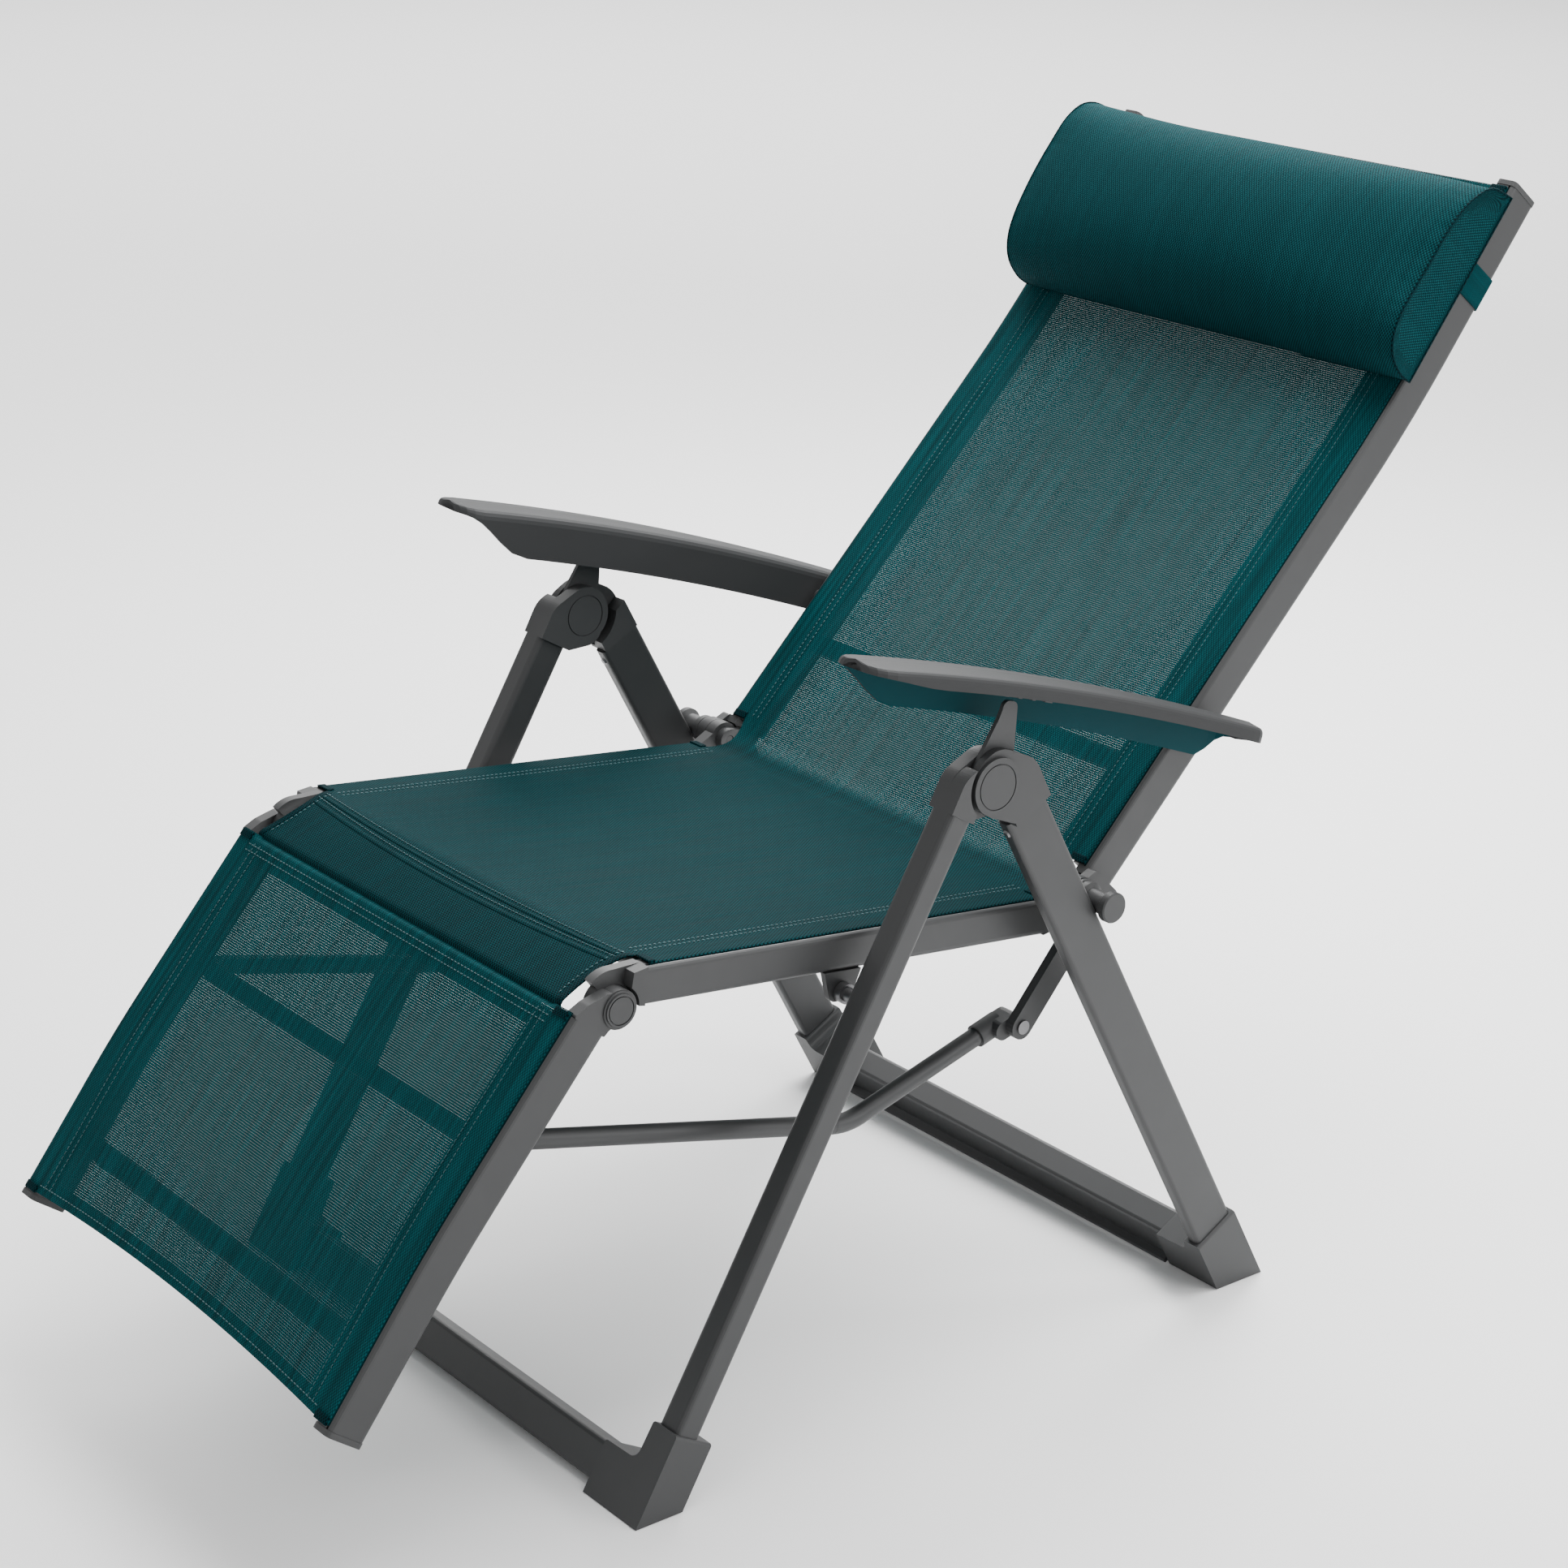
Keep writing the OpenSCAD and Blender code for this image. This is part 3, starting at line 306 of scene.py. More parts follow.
@dataclass(frozen=True)
class YarnWeave:
    """Plain weave of coated yarn, laid by a UV map in metres: warp along V, weft along U.

    With a closed weave given, the cloth changes from that one to this one over a range of V.
    """

    name: str
    warp: Point
    weft: Point
    warp_pitch: float = 1.5 * MM
    weft_pitch: float = 2.08 * MM
    cover: float = 0.74
    open_share: float = 0.0
    relief: float = 0.4 * MM
    roughness: float = 0.68
    # Share of the colour left where a yarn dips low: painted shade between the yarns
    dip_shade: float = 0.3
    streak: float = 0.2
    closed: Optional["YarnWeave"] = None
    fade: Pair = (0.0, 1.0)

    def make(self) -> Material:
        """Make the material.

        Returns:
            The material.
        """
        r = Recipe(self.name)
        axes = r.node("SeparateXYZ", {0: r.place("UV")})
        u = r.calc("DIVIDE", axes.outputs[0], self.warp_pitch)
        v = r.calc("DIVIDE", axes.outputs[1], self.weft_pitch)
        column, line = r.calc("FLOOR", u), r.calc("FLOOR", v)
        across = r.calc("SUBTRACT", r.calc("FRACT", u), 0.5)
        along = r.calc("SUBTRACT", r.calc("FRACT", v), 0.5)
        odd = r.calc("FLOORED_MODULO", r.calc("ADD", column, line), 2.0)
        over = r.calc("MULTIPLY_ADD", odd, -2.0, 1.0)
        warp, weft, half_cover, openness = self.mixture(r, axes.outputs[1])
        warp_height = self.yarn(r, across, along, over, 1.0, half_cover)
        weft_height = self.yarn(r, along, across, over, -1.0, half_cover)
        height = r.calc("MAXIMUM", warp_height, weft_height)
        warp_on_top = r.calc("GREATER_THAN", warp_height, weft_height)
        gap = r.calc("LESS_THAN", height, -0.9)
        raised = r.calc("MAXIMUM", height, 0.0)
        drift = r.noise(r.stretched(r.place("UV"), (230.0, 7.0, 1.0)), 1.0, 3.0)
        # Painted shade: the yarns darken where they dip under their crossings and in the gaps
        shade = r.calc("MULTIPLY", self.unevenness(r, column, drift), r.span(raised, self.dip_shade, 1.0))
        r.set(
            Base_Color=r.tone(r.mix(warp_on_top, weft, warp), shade),
            Roughness=r.around(drift, self.roughness, 0.08),
            Specular_IOR_Level=0.03,
            Alpha=r.calc("SUBTRACT", 1.0, r.calc("MULTIPLY", gap, openness)),
        )
        r.bump(raised, self.relief, 0.8)
        return r.material

    def mixture(self, r: Recipe, v: Socket) -> Tuple[object, object, object, object]:
        """Colours, yarn width and openness, on their way from the closed weave where there is one.

        Args:
            r: The recipe.
            v: Way along the cloth.

        Returns:
            Warp colour, weft colour, half the cover and the openness.
        """
        warp, weft = (*self.warp, 1.0), (*self.weft, 1.0)
        if self.closed is None:
            return warp, weft, self.cover / 2, self.open_share
        limits = {"Value": v, "From Min": self.fade[0], "From Max": self.fade[1]}
        share = r.node("MapRange", limits, interpolation_type="SMOOTHSTEP").outputs[0]
        return (r.mix(share, (*self.closed.warp, 1.0), warp),
                r.mix(share, (*self.closed.weft, 1.0), weft),
                r.span(share, self.closed.cover / 2, self.cover / 2),
                r.span(share, self.closed.open_share, self.open_share))

    def unevenness(self, r: Recipe, column: Socket, drift: Socket) -> Socket:
        """Shade of a yarn against its neighbours, along its way and over the cloth.

        Args:
            r: The recipe.
            column: Number of the warp yarn.
            drift: Noise drawn out along the warp.

        Returns:
            A factor round 1.
        """
        slub = r.node("TexWhiteNoise", {"W": column}, noise_dimensions="1D").outputs[0]
        patch = r.around(r.noise(r.place("UV"), 26.0, 3.0), 1.0, 0.12)
        streaks = r.around(drift, 1.0, 1.6 * self.streak)
        return r.calc("MULTIPLY", r.around(slub, 1.0, 0.07), r.calc("MULTIPLY", streaks, patch))

    def yarn(self, r: Recipe, off: Socket, run: Socket, over: Socket, sign: float,
             half_cover: object) -> Socket:
        """Height of one yarn system at a point of its cell.

        Args:
            r: The recipe.
            off: Distance from the yarn's middle, in pitches.
            run: Distance from the crossing along the yarn, in pitches.
            over: 1 where the warp lies on top, -1 where the weft does.
            sign: 1 for the warp, -1 for the weft.
            half_cover: Half the yarn's width, in pitches.

        Returns:
            Height from 0 to 1 on the yarn, and below -1 beside it.
        """
        share = r.calc("DIVIDE", off, half_cover)
        rest = r.calc("MULTIPLY_ADD", r.calc("MULTIPLY", share, share), -1.0, 1.0)
        round_part = r.calc("SQRT", r.calc("MAXIMUM", rest, 0.0))
        wave = r.calc("MULTIPLY", r.calc("COSINE", r.calc("MULTIPLY", run, math.pi)), over)
        lift = r.calc("MULTIPLY_ADD", wave, 0.25 * sign, 0.25)
        height = r.calc("ADD", r.calc("MULTIPLY", round_part, 0.5), lift)
        beside = r.calc("GREATER_THAN", r.calc("ABSOLUTE", share), 1.0)
        return r.calc("SUBTRACT", height, r.calc("MULTIPLY", beside, 3.0))


@dataclass(frozen=True)
class SewingThread:
    """Twisted polyester thread, lighter than the cloth."""

    name: str = "sewing_thread"
    colour: Point = (0.006, 0.075, 0.085)

    def make(self) -> Material:
        """Make the material.

        Returns:
            The material.
        """
        r = Recipe(self.name)
        twist = r.noise(r.place(), 2400.0)
        r.set(Base_Color=r.tone(self.colour, r.span(twist, 0.7, 1.25)), Roughness=0.6, Sheen_Weight=0.3)
        r.bump(twist, 0.1 * MM, 0.6)
        return r.material


# Lines and meshes


def steps(first: float, last: float, count: int) -> List[float]:
    """Return count + 1 even values from first to last."""
    return [first + (last - first) * i / count for i in range(count + 1)]


def clamp(t: float) -> float:
    """Return a value kept between 0 and 1."""
    return max(0.0, min(1.0, t))


def smooth(t: float) -> float:
    """Return an S-curve from 0 to 1."""
    t = clamp(t)
    return t * t * (3 - 2 * t)


def heading(angle: float) -> np.ndarray:
    """Return the unit vector of an angle in degrees."""
    return np.array((math.cos(math.radians(angle)), math.sin(math.radians(angle))))


def mirrored(xs: Sequence[float], side: int) -> List[float]:
    """Return x values on one side, so that both sides run the same way across."""
    return [side * x for x in (xs if side > 0 else xs[::-1])]


def bezier(a: np.ndarray, p: np.ndarray, q: np.ndarray, b: np.ndarray, t: float) -> np.ndarray:
    """Return the point at t on a curve from a to b that leaves for p and comes in from q."""
    return (1 - t) ** 3 * a + 3 * (1 - t) ** 2 * t * p + 3 * (1 - t) * t ** 2 * q + t ** 3 * b


def run_lengths(line: np.ndarray) -> np.ndarray:
    """Return the length along a line at each of its points."""
    return np.concatenate([[0.0], np.cumsum(np.linalg.norm(np.diff(line, axis=0), axis=1))])


def along_line(line: np.ndarray, way: object) -> np.ndarray:
    """Return the points at one or more lengths along a flat line."""
    lengths = run_lengths(line)
    return np.stack([np.interp(way, lengths, line[:, k]) for k in (0, 1)], axis=-1)


def grid_faces(rows: int, columns: int) -> List[Face]:
    """Return the quads of a grid of vertices."""
    firsts = [i * columns + j for i in range(rows - 1) for j in range(columns - 1)]
    return [(a + columns, a + columns + 1, a + 1, a) for a in firsts]


def tube_faces(starts: Sequence[int], ring: int, turned: bool = False) -> List[Face]:
    """Quads between rings of vertices.

    Args:
        starts: Number of the first vertex of each ring.
        ring: Vertices in a ring.
        turned: Whether the faces look the other way.

    Returns:
        The quads.
    """
    quads = []
    for here, there in zip(starts, starts[1:]):
        for j in range(ring):
            k = (j + 1) % ring
            a, b, c, d = here + j, here + k, there + k, there + j
            quads.append((a, d, c, b) if turned else (a, b, c, d))
    return quads


def new_object(name: str, points: Sequence[Point], faces: Sequence[Face], material: Material,
               uvs: Optional[Sequence[Pair]] = None) -> Object:
    """Make a smooth-shaded mesh object.

    Args:
        name: Name of the piece.
        points: Vertices in metres.
        faces: Vertex numbers of each face.
        material: Finish.
        uvs: Weave coordinate of each vertex, in metres.

    Returns:
        The new object.
    """
    mesh = bpy.data.meshes.new(name)
    mesh.from_pydata([tuple(p) for p in points], [], faces)
    if uvs is not None:
        layer = mesh.uv_layers.new(name="weave")
        flat = np.array([uvs[loop.vertex_index] for loop in mesh.loops], np.float32)
        layer.data.foreach_set("uv", flat.ravel())
    smooth_shaded(mesh)
    mesh.materials.append(material)
    mesh.validate()
    return link_object(name, mesh)


def smooth_shaded(mesh: bpy.types.Mesh) -> None:
    """Shade a mesh smooth."""
    mesh.polygons.foreach_set("use_smooth", [True] * len(mesh.polygons))


def names(pieces: Sequence[Object]) -> str:
    """Return the names of objects in a row."""
    return ", ".join(piece.name for piece in pieces)


def read_points(piece: Object) -> np.ndarray:
    """Return the vertices of an object."""
    return np.array([v.co for v in piece.data.vertices])


def write_points(piece: Object, points: np.ndarray) -> None:
    """Move the vertices of an object."""
    piece.data.vertices.foreach_set("co", points.astype(np.float32).ravel())


def link_object(name: str, data: object) -> Object:
    """Put an object into the scene.

    Args:
        name: Name of the object.
        data: Its mesh, camera or light.

    Returns:
        The new object.
    """
    made = bpy.data.objects.new(name, data)
    bpy.context.scene.collection.objects.link(made)
    return made


@dataclass
class Surface:
    """A cloth surface with its own coordinates: x across, s along and h above."""

    place: Callable[[float, float, float], Point]
    # Share of the stitch's length, lift and half width of each ring; side and height of the ring's points
    stitch_rings: Tuple[Point, ...] = ((0.0, -0.3, 0.5), (0.25, 0.35, 1.0), (0.75, 0.35, 1.0),
                                       (1.0, -0.3, 0.5))
    stitch_section: Tuple[Pair, ...] = ((-1.0, 0.0), (0.0, 0.55), (1.0, 0.0), (0.0, -0.6))

    def sheet(self, name: str, across: Sequence[Pair], along: Sequence[float], material: Material,
              edge: Factor = lambda s: 1.0) -> Object:
        """Lay a single skin.

        Args:
            name: Name of the piece.
            across: Pairs of x and h, from edge to edge.
            along: Values of s.
            material: Finish.
            edge: Factor on x at a value of s.

        Returns:
            The sheet.
        """
        spots = [(x * edge(s), s, h) for s in along for x, h in across]
        points = [self.place(*spot) for spot in spots]
        faces = grid_faces(len(along), len(across))
        return new_object(name, points, faces, material, [spot[:2] for spot in spots])

    def strip(self, name: str, strips: Sequence[Strip], low: float, high: float,
              material: Material, crowned: bool = False) -> Object:
        """Lay closed strips of cloth, each between two h values with rounded edges.

        Args:
            name: Name of the piece.
            strips: For each strip, its cross lines, each a list of (x, s) from one edge to the other.
            low: Underside h.
            high: Top h.
            material: Finish.
            crowned: Whether the top is rounded over its whole width.

        Returns:
            One object that holds the strips.
        """
        points, uvs, faces = [], [], []
        soft = (high - low) * 0.25
        for strip in strips:
            start, count = len(points), len(strip[0])
            ring, ends = 2 * count + 2, (0, count - 1)
            edge = (low + high) / 2
            tops = [high - soft * (i in ends) for i in range(count)]
            floors = [low + 0.5 * soft * (i in ends) for i in range(count)]
            if crowned:
                edge = low + soft
                arch = [math.sin(math.pi * i / (count - 1)) ** 0.8 for i in range(count)]
                tops = [edge + (high - edge) * rise for rise in arch]
            for line in strip:
                loop = [(line[0], edge), *zip(line, tops), (line[-1], edge), *zip(line[::-1], floors)]
                for (x, s), h in loop:
                    points.append(self.place(x, s, h))
                    uvs.append((x, s))
            starts = [start + i * ring for i in range(len(strip))]
            faces += tube_faces(starts, ring)
            faces.append(tuple(start + j for j in reversed(range(ring))))
            faces.append(tuple(starts[-1] + j for j in range(ring)))
        return new_object(name, points, faces, material, uvs)

    def stitches(self, name: str, seams: Sequence[Line], h: float, material: Material) -> Object:
        """Sew rows of stitches.

        Args:
            name: Name of the piece.
            seams: For each seam, the points (x, s) that it follows.
            h: Height of the thread over the surface's zero.
            material: Finish.

        Returns:
            One object that holds the stitches.
        """
        points, faces = [], []
        for seam in seams:
            line = np.array(seam)
            length = run_lengths(line)[-1]
            at = 0.5 * STITCH_GAP
            while at + STITCH < length:
                a, b = along_line(line, (at, at + STITCH))
                self.one_stitch(points, faces, a, b, h)
                at += STITCH + STITCH_GAP
        return new_object(name, points, faces, material)

    def one_stitch(self, points: List[Point], faces: List[Face], a: np.ndarray, b: np.ndarray,
                   h: float) -> None:
        """Add one stitch, a low arched bead.

        Args:
            points: Vertices so far.
            faces: Faces so far.
            a: Where it comes up, as (x, s).
            b: Where it goes down.
            h: Height of the cloth.
        """
        run = (b - a) / np.linalg.norm(b - a)
        side = np.array((-run[1], run[0])) * (THREAD / 2)
        start = len(points)
        for t, lift, wide in self.stitch_rings:
            for k, up in self.stitch_section:
                x, s = a + (b - a) * t + side * k * wide
                points.append(self.place(x, s, h + (lift + up) * THREAD))
        faces += tube_faces(range(start, start + 16, 4), 4, turned=True)
        faces.append((start, start + 1, start + 2, start + 3))
        faces.append((start + 15, start + 14, start + 13, start + 12))


@dataclass(frozen=True)
class BentRail:
    """Side-view line of a rail: straight, gently bent, straight again."""

    origin: Pair
    angle: float
    straight: float
    radius: float
    bend: float
    face: float = 0.0
    down: bool = False

    def at(self, s: float, h: float) -> Pair:
        """Side-view point.

        Args:
            s: Way along the rail from its joint.
            h: Height over the rail's face.

        Returns:
            Depth and height in the row frame.
        """
        sign = -1.0 if self.down else 1.0
        along = heading(self.angle) * sign
        normal = heading(self.angle + 90.0)
        start = np.array(self.origin)
        height = self.face + h
        if s <= self.straight:
            return tuple(start + along * s + normal * height)
        turn = min((s - self.straight) / self.radius, math.radians(self.bend))
        centre = start + along * self.straight + normal * (sign * self.radius)
        direction = along * math.cos(turn) + normal * (sign * math.sin(turn))
        outward = normal * math.cos(turn) - along * (sign * math.sin(turn))
        rest = max(0.0, s - self.straight - self.radius * turn)
        return tuple(centre + outward * (height - sign * self.radius) + direction * rest)


# The chair's own pieces


@dataclass(frozen=True)
class Finishes:
    """Every finish of the chair, made once."""

    frame: Material
    casting: Material
    arm: Material
    steel: Material
    window: Material
    hem: Material
    seat: Material
    crease: Material
    cushion: Material
    strap: Material
    thread: Material

    @classmethod
    def make(cls) -> "Finishes":
        """Make all materials.

        Returns:
            The finishes.
        """
        window = YarnWeave("sling_window", (0.003, 0.062, 0.07), (0.0009, 0.029, 0.034), cover=0.84,
                           open_share=0.72, relief=0.3 * MM, streak=0.5)
        seat = YarnWeave("sling_seat", (0.0012, 0.041, 0.047), (0.0001, 0.007, 0.009), cover=0.9,
                         relief=0.6 * MM)
        return cls(
            frame=PaintedMetal("powder_coat", (0.037, 0.038, 0.039)).make(),
            casting=MouldedPlastic("cast_nylon", (0.036, 0.037, 0.038)).make(),
            # The armrests' hollows get a painted teal shade
            arm=MouldedPlastic("armrest_nylon", (0.039, 0.04, 0.041), roughness=0.56, specular=0.08,
                               hollow_shade=(0.0002, 0.04, 0.049)).make(),
            steel=TurnedSteel().make(),
            window=window.make(),
            hem=YarnWeave("sling_hem", (0.0006, 0.025, 0.03), (0.0001, 0.006, 0.008), cover=0.9).make(),
            seat=seat.make(),
            crease=replace(window, name="sling_crease", closed=seat, fade=(17 * MM, 38 * MM)).make(),
            cushion=YarnWeave("cushion_canvas", (0.0055, 0.06, 0.068), (0.0016, 0.018, 0.021), cover=0.94,
                              relief=0.6 * MM, roughness=0.85, streak=0.1).make(),
            strap=YarnWeave("strap_elastic", (0.001, 0.042, 0.048), (0.0005, 0.034, 0.04),
                            warp_pitch=1.1 * MM, weft_pitch=2.4 * MM, cover=0.98, relief=0.3 * MM,
                            roughness=0.7).make(),
            thread=SewingThread().make(),
        )

    def for_slot(self, slot: Slot) -> Material:
        """Return the finish that a record slot stands for."""
        return {Slot.FRAME: self.frame, Slot.CASTING: self.casting, Slot.ARM: self.arm,
                Slot.SLING: self.seat, Slot.CUSHION: self.cushion, Slot.STRAP: self.strap,
                Slot.STEEL: self.steel}[slot]


@dataclass
class MetalWork:
    """Rails, legs, bars, castings and pins, kept as the frame has them."""

    finishes: Finishes

    def dress(self, nodes: Dict[str, Object], record: dict) -> None:
        """Give each carried-over node its finish.

        Args:
            nodes: CAD nodes by name.
            record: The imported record.
        """
        slots = {part["node"]: Slot(part["material_slot"]) for part in record["subparts"]}
        for name, piece in nodes.items():
            piece.data.materials.clear()
            piece.data.materials.append(self.finishes.for_slot(slots[name]))
            LOG.info("finish %s on %s", slots[name].value, name)


@dataclass
class Panel:
    """What sets one panel of the sling apart from the others."""

    name: str
    body: str
    surface: Surface
    first: float
    last: float
    along: Sequence[float]
    finish: Material
    hems: Sequence[Strip]
    seams: Sequence[Line]
    folds: Pair
    hem_low: float = 0.45 * MM
    flipped: bool = False


@dataclass
class Sling:
    """The cover: back panel, seat panel and footrest panel, with the bands that join them."""

    finishes: Finishes
    hinge: Pair
    knee: Pair
    groove: float = 255.2 * MM
    groove_way: float = 5.5 * MM
    rail_in: float = 238 * MM
    window: float = 214 * MM
    hem_out: float = 253.4 * MM
    hem_across: float = 214.5 * MM
    hem_top: float = 1.15 * MM
    top: float = 1.45 * MM
    back_angle: float = 46.6
    foot_angle: float = 50.3
    seat_angle: float = -5.4
    seat_drop: float = 5 * MM
    seat_front: float = 464 * MM
    seat_rear: float = 31 * MM
    back_start: float = 26 * MM
    back_end: float = 776.6 * MM
    foot_start: float = 22 * MM
    foot_end: float = 388.4 * MM
    foot_bow: float = 9 * MM
    seam_places: Pair = (220.5 * MM, 228 * MM)
    foot_seam_places: Pair = (218 * MM, 226.5 * MM)
    back_sag: float = 2.5 * MM
    seat_sag: float = 5 * MM
    foot_sag: float = 2 * MM
    valley: float = 7 * MM
    valley_depth: float = 6 * MM
    band_half: float = 236.5 * MM
    crease_length: float = 57 * MM
    # Handles of the two bands' curves, how far the knee's front one falls, and how far free edges draw in
    knee_reach: Pair = (9 * MM, 14 * MM)
    crease_reach: float = 20 * MM
    knee_fall: float = 0.12
    knee_draw: float = 0.022
    crease_draw: float = 0.03
    # Seam ridges on the knee band: way from the seat, bow towards the foot, and width
    ridges: Tuple[Point, ...] = ((8 * MM, 9 * MM, 4 * MM), (16 * MM, 12 * MM, 5.5 * MM))
    back: BentRail = field(init=False)
    foot: BentRail = field(init=False)
    knee_curve: np.ndarray = field(init=False)
    knee_length: float = field(init=False)

    def __post_init__(self) -> None:
        """Set the rails' side-view lines and the line over the knee, nearly flat between two soft bends."""
        self.back = BentRail(self.hinge, self.back_angle, straight=0.465, radius=1.4, bend=6.0)
        self.foot = BentRail(self.knee, self.foot_angle, straight=0.2, radius=1.2, bend=3.6, face=36.5 * MM,
                             down=True)
        start = np.array(self.seat_line(self.seat_front, self.top))
        a = np.array(self.seat_line(self.seat_front + 6 * MM, self.top))
        b = np.array(self.foot.at(self.foot_start + 1.5 * MM, self.top))
        chord = (b - a) / np.linalg.norm(b - a)
        fall = np.array((chord[0] + self.knee_fall * chord[1], chord[1] - self.knee_fall * abs(chord[0])))
        p, q = a - heading(self.seat_angle) * self.knee_reach[0], b - fall * self.knee_reach[1]
        self.knee_curve = np.array([start] + [bezier(a, p, q, b, t) for t in steps(0.0, 1.0, 40)])
        self.knee_length = float(run_lengths(self.knee_curve)[-1])

    def seat_line(self, s: float, h: float) -> Pair:
        """Side-view point of the seat, s being the way from the hinge to the front."""
        way = heading(self.seat_angle)
        return tuple(np.array(self.hinge) - way * s + np.array((-way[1], way[0])) * (h - self.seat_drop))

    def knee_line(self, s: float, h: float) -> Pair:
        """Side-view point of the knee band.

        Args:
            s: Way from the seat panel's front end.
            h: Height over the cloth's top.

        Returns:
            Depth and height in the row frame.
        """
        here, before, after = along_line(self.knee_curve, (s, s - 2 * MM, s + 2 * MM))
        run = (after - before) / np.linalg.norm(after - before)
        return tuple(here + np.array((run[1], -run[0])) * h)

    def crease_line(self, t: float, h: float) -> Pair:
        """Side-view point of the band between seat and back.

        Args:
            t: Way along it, 0 at the seat and 1 at the back.
            h: Height over the cloth's top.

        Returns:
            Depth and height in the row frame.
        """
        a = np.array(self.seat_line(self.seat_rear, h + self.top))
        b = np.array(self.back.at(self.back_start, h + self.top))
        p = a + heading(self.seat_angle) * self.crease_reach
        q = b - heading(self.back_angle) * self.crease_reach
        return tuple(bezier(a, p, q, b, t))

    def sagging(self, line: SideLine, sag: float, ends: Pair, power: float = 0.5) -> Surface:
        """Surface over a pair of rails, which sags a little between them.

        Args:
            line: Side-view line.
            sag: Depth of the sag in the middle.
            ends: Where the panel starts and ends.
            power: How softly the sag begins at the ends; less is more sudden.

        Returns:
            The surface.
        """
        def place(x: float, s: float, h: float) -> Point:
            """Point on the panel.

            Args:
                x: Way across.
                s: Way along.
                h: Height over the rails.

            Returns:
                The point in the row frame.
            """
            share = max(0.0, 1 - (x / self.rail_in) ** 2)
            share *= math.sin(math.pi * clamp((s - ends[0]) / (ends[1] - ends[0]))) ** power
            return (x, *line(s, h - sag * share))
        return Surface(place)

    @property
    def profile(self) -> List[Pair]:
        """Line across a panel, whose edges turn down into the rails' grooves.

        Returns:
            Pairs of x and h.
        """
        g, top = self.groove, self.top
        edge = [(g, -6.0 * MM), (g, -1.2 * MM), (g - 0.15 * MM, 0.35 * MM), (g - 0.9 * MM, 1.2 * MM),
                (g - 2.4 * MM, top)]
        outer = [214 * MM, 226 * MM, 238 * MM, 248 * MM]
        inner = mirrored(outer, -1) + steps(-200 * MM, 200 * MM, 20) + outer
        return [(-x, h) for x, h in edge] + [(x, top) for x in inner] + edge[::-1]

    def side_hems(self, first: float, last: float, count: int) -> List[Strip]:
        """Side hems of a panel.

        Args:
            first: Where they start.
            last: Where they end.
            count: Steps along them.

        Returns:
            Their cross lines.
        """
        inner, outer = self.window, self.hem_out
        xs = [inner, inner + 1 * MM, 0.5 * (inner + outer), outer - 1 * MM, outer]
        return [[[(x, s) for x in mirrored(xs, side)] for s in steps(first, last, count)] for side in SIDES]

    def cross_hem(self, first: float, last: float) -> Strip:
        """Return the cross lines of a hem that runs across the panel."""
        ss = [last, last - 1 * MM, (first + last) / 2, first + 1 * MM, first]
        return [[(x, s) for s in ss] for x in steps(-self.hem_across, self.hem_across, 24)]

    @staticmethod
    def side_seams(xs: Sequence[float], first: float, last: float, count: int) -> List[Line]:
        """Return seams along both sides at each x."""
        return [[(side * x, s) for s in steps(first, last, count)] for side in SIDES for x in xs]

    @staticmethod
    def cross_seam(s: float, half: float) -> Line:
        """Return a seam across at s."""
        return [(x, s) for x in steps(-half, half, 30)]

    def end_folds(self, surface: Surface, name: str, ends: Sequence[float]) -> Object:
        """Turn the cloth's end over itself where it lies on the rails.

        Args:
            surface: The panel's surface.
            name: Name of the piece.
            ends: Values of s in the middle of the folds.

        Returns:
            The folds.
        """
        half = 3.4 * MM
        xs = (236.8 * MM, 238 * MM, 246 * MM, 253 * MM, 254.6 * MM)
        strips = [[[(x, v) for x in mirrored(xs, side)] for v in steps(s - half, s + half, 6)]
                  for s in ends for side in SIDES]
        return surface.strip(name, strips, 1.0 * MM, 2.9 * MM, self.finishes.hem)

    def lay(self, panel: Panel) -> None:
        """Args:
            panel: The panel.
        """
        name, surface, f = panel.name, panel.surface, self.finishes
        across = [(-x, h) for x, h in self.profile] if panel.flipped else self.profile
        sheet = surface.sheet(f"{name}_cloth", across, panel.along, panel.finish)
        hems = surface.strip(f"{name}_hems", panel.hems, panel.hem_low, self.hem_top, f.hem)
        folds = self.end_folds(surface, f"{name}_end_folds", panel.folds)
        sewn = surface.stitches(f"{name}_stitches", panel.seams, self.top + 0.15 * MM, f.thread)
        extras = [hems, folds, sewn]
        for piece in (sheet, *extras):
            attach(piece, panel.body)
        flat = (2 * (self.groove + self.groove_way), panel.last - panel.first)
        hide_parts(f"{name}_sling")
        LOG.info("%s, %.0f by %.0f mm, with %s", sheet.name, flat[0] / MM, flat[1] / MM, names(extras))

    def back_panel(self) -> None:
        """Build the back panel."""
        first, last = self.back_start, self.back_end
        surface = self.sagging(self.back.at, self.back_sag, (first, last))
        hems = self.side_hems(first + 1 * MM, last - 1 * MM, 60)
        hems.append(self.cross_hem(last - 40 * MM, last - 1 * MM))
        seams = self.side_seams(self.seam_places, first + 4 * MM, last - 4 * MM, 60)
        seams.append(self.cross_seam(last - 36 * MM, 230 * MM))
        along, folds = steps(first, last, 60), (first + 3 * MM, last - 3 * MM)
        self.lay(Panel("back", "backrest", surface, first, last, along, self.finishes.window, hems, seams,
                       folds))

    def seat_panel(self) -> None:
        """Build the seat panel."""
        first, last = self.seat_rear, self.seat_front
        surface = self.sagging(self.seat_line, self.seat_sag, (first, last), 0.7)
        hems = self.side_hems(first + 1 * MM, last - 1 * MM, 40)
        seams = self.side_seams(self.seam_places, first + 3 * MM, last - 3 * MM, 40)
        along, folds = steps(first, last, 44), (first + 3 * MM, last - 3 * MM)
        self.lay(Panel("seat", "seat", surface, first, last, along, self.finishes.seat, hems, seams, folds,
                       flipped=True))

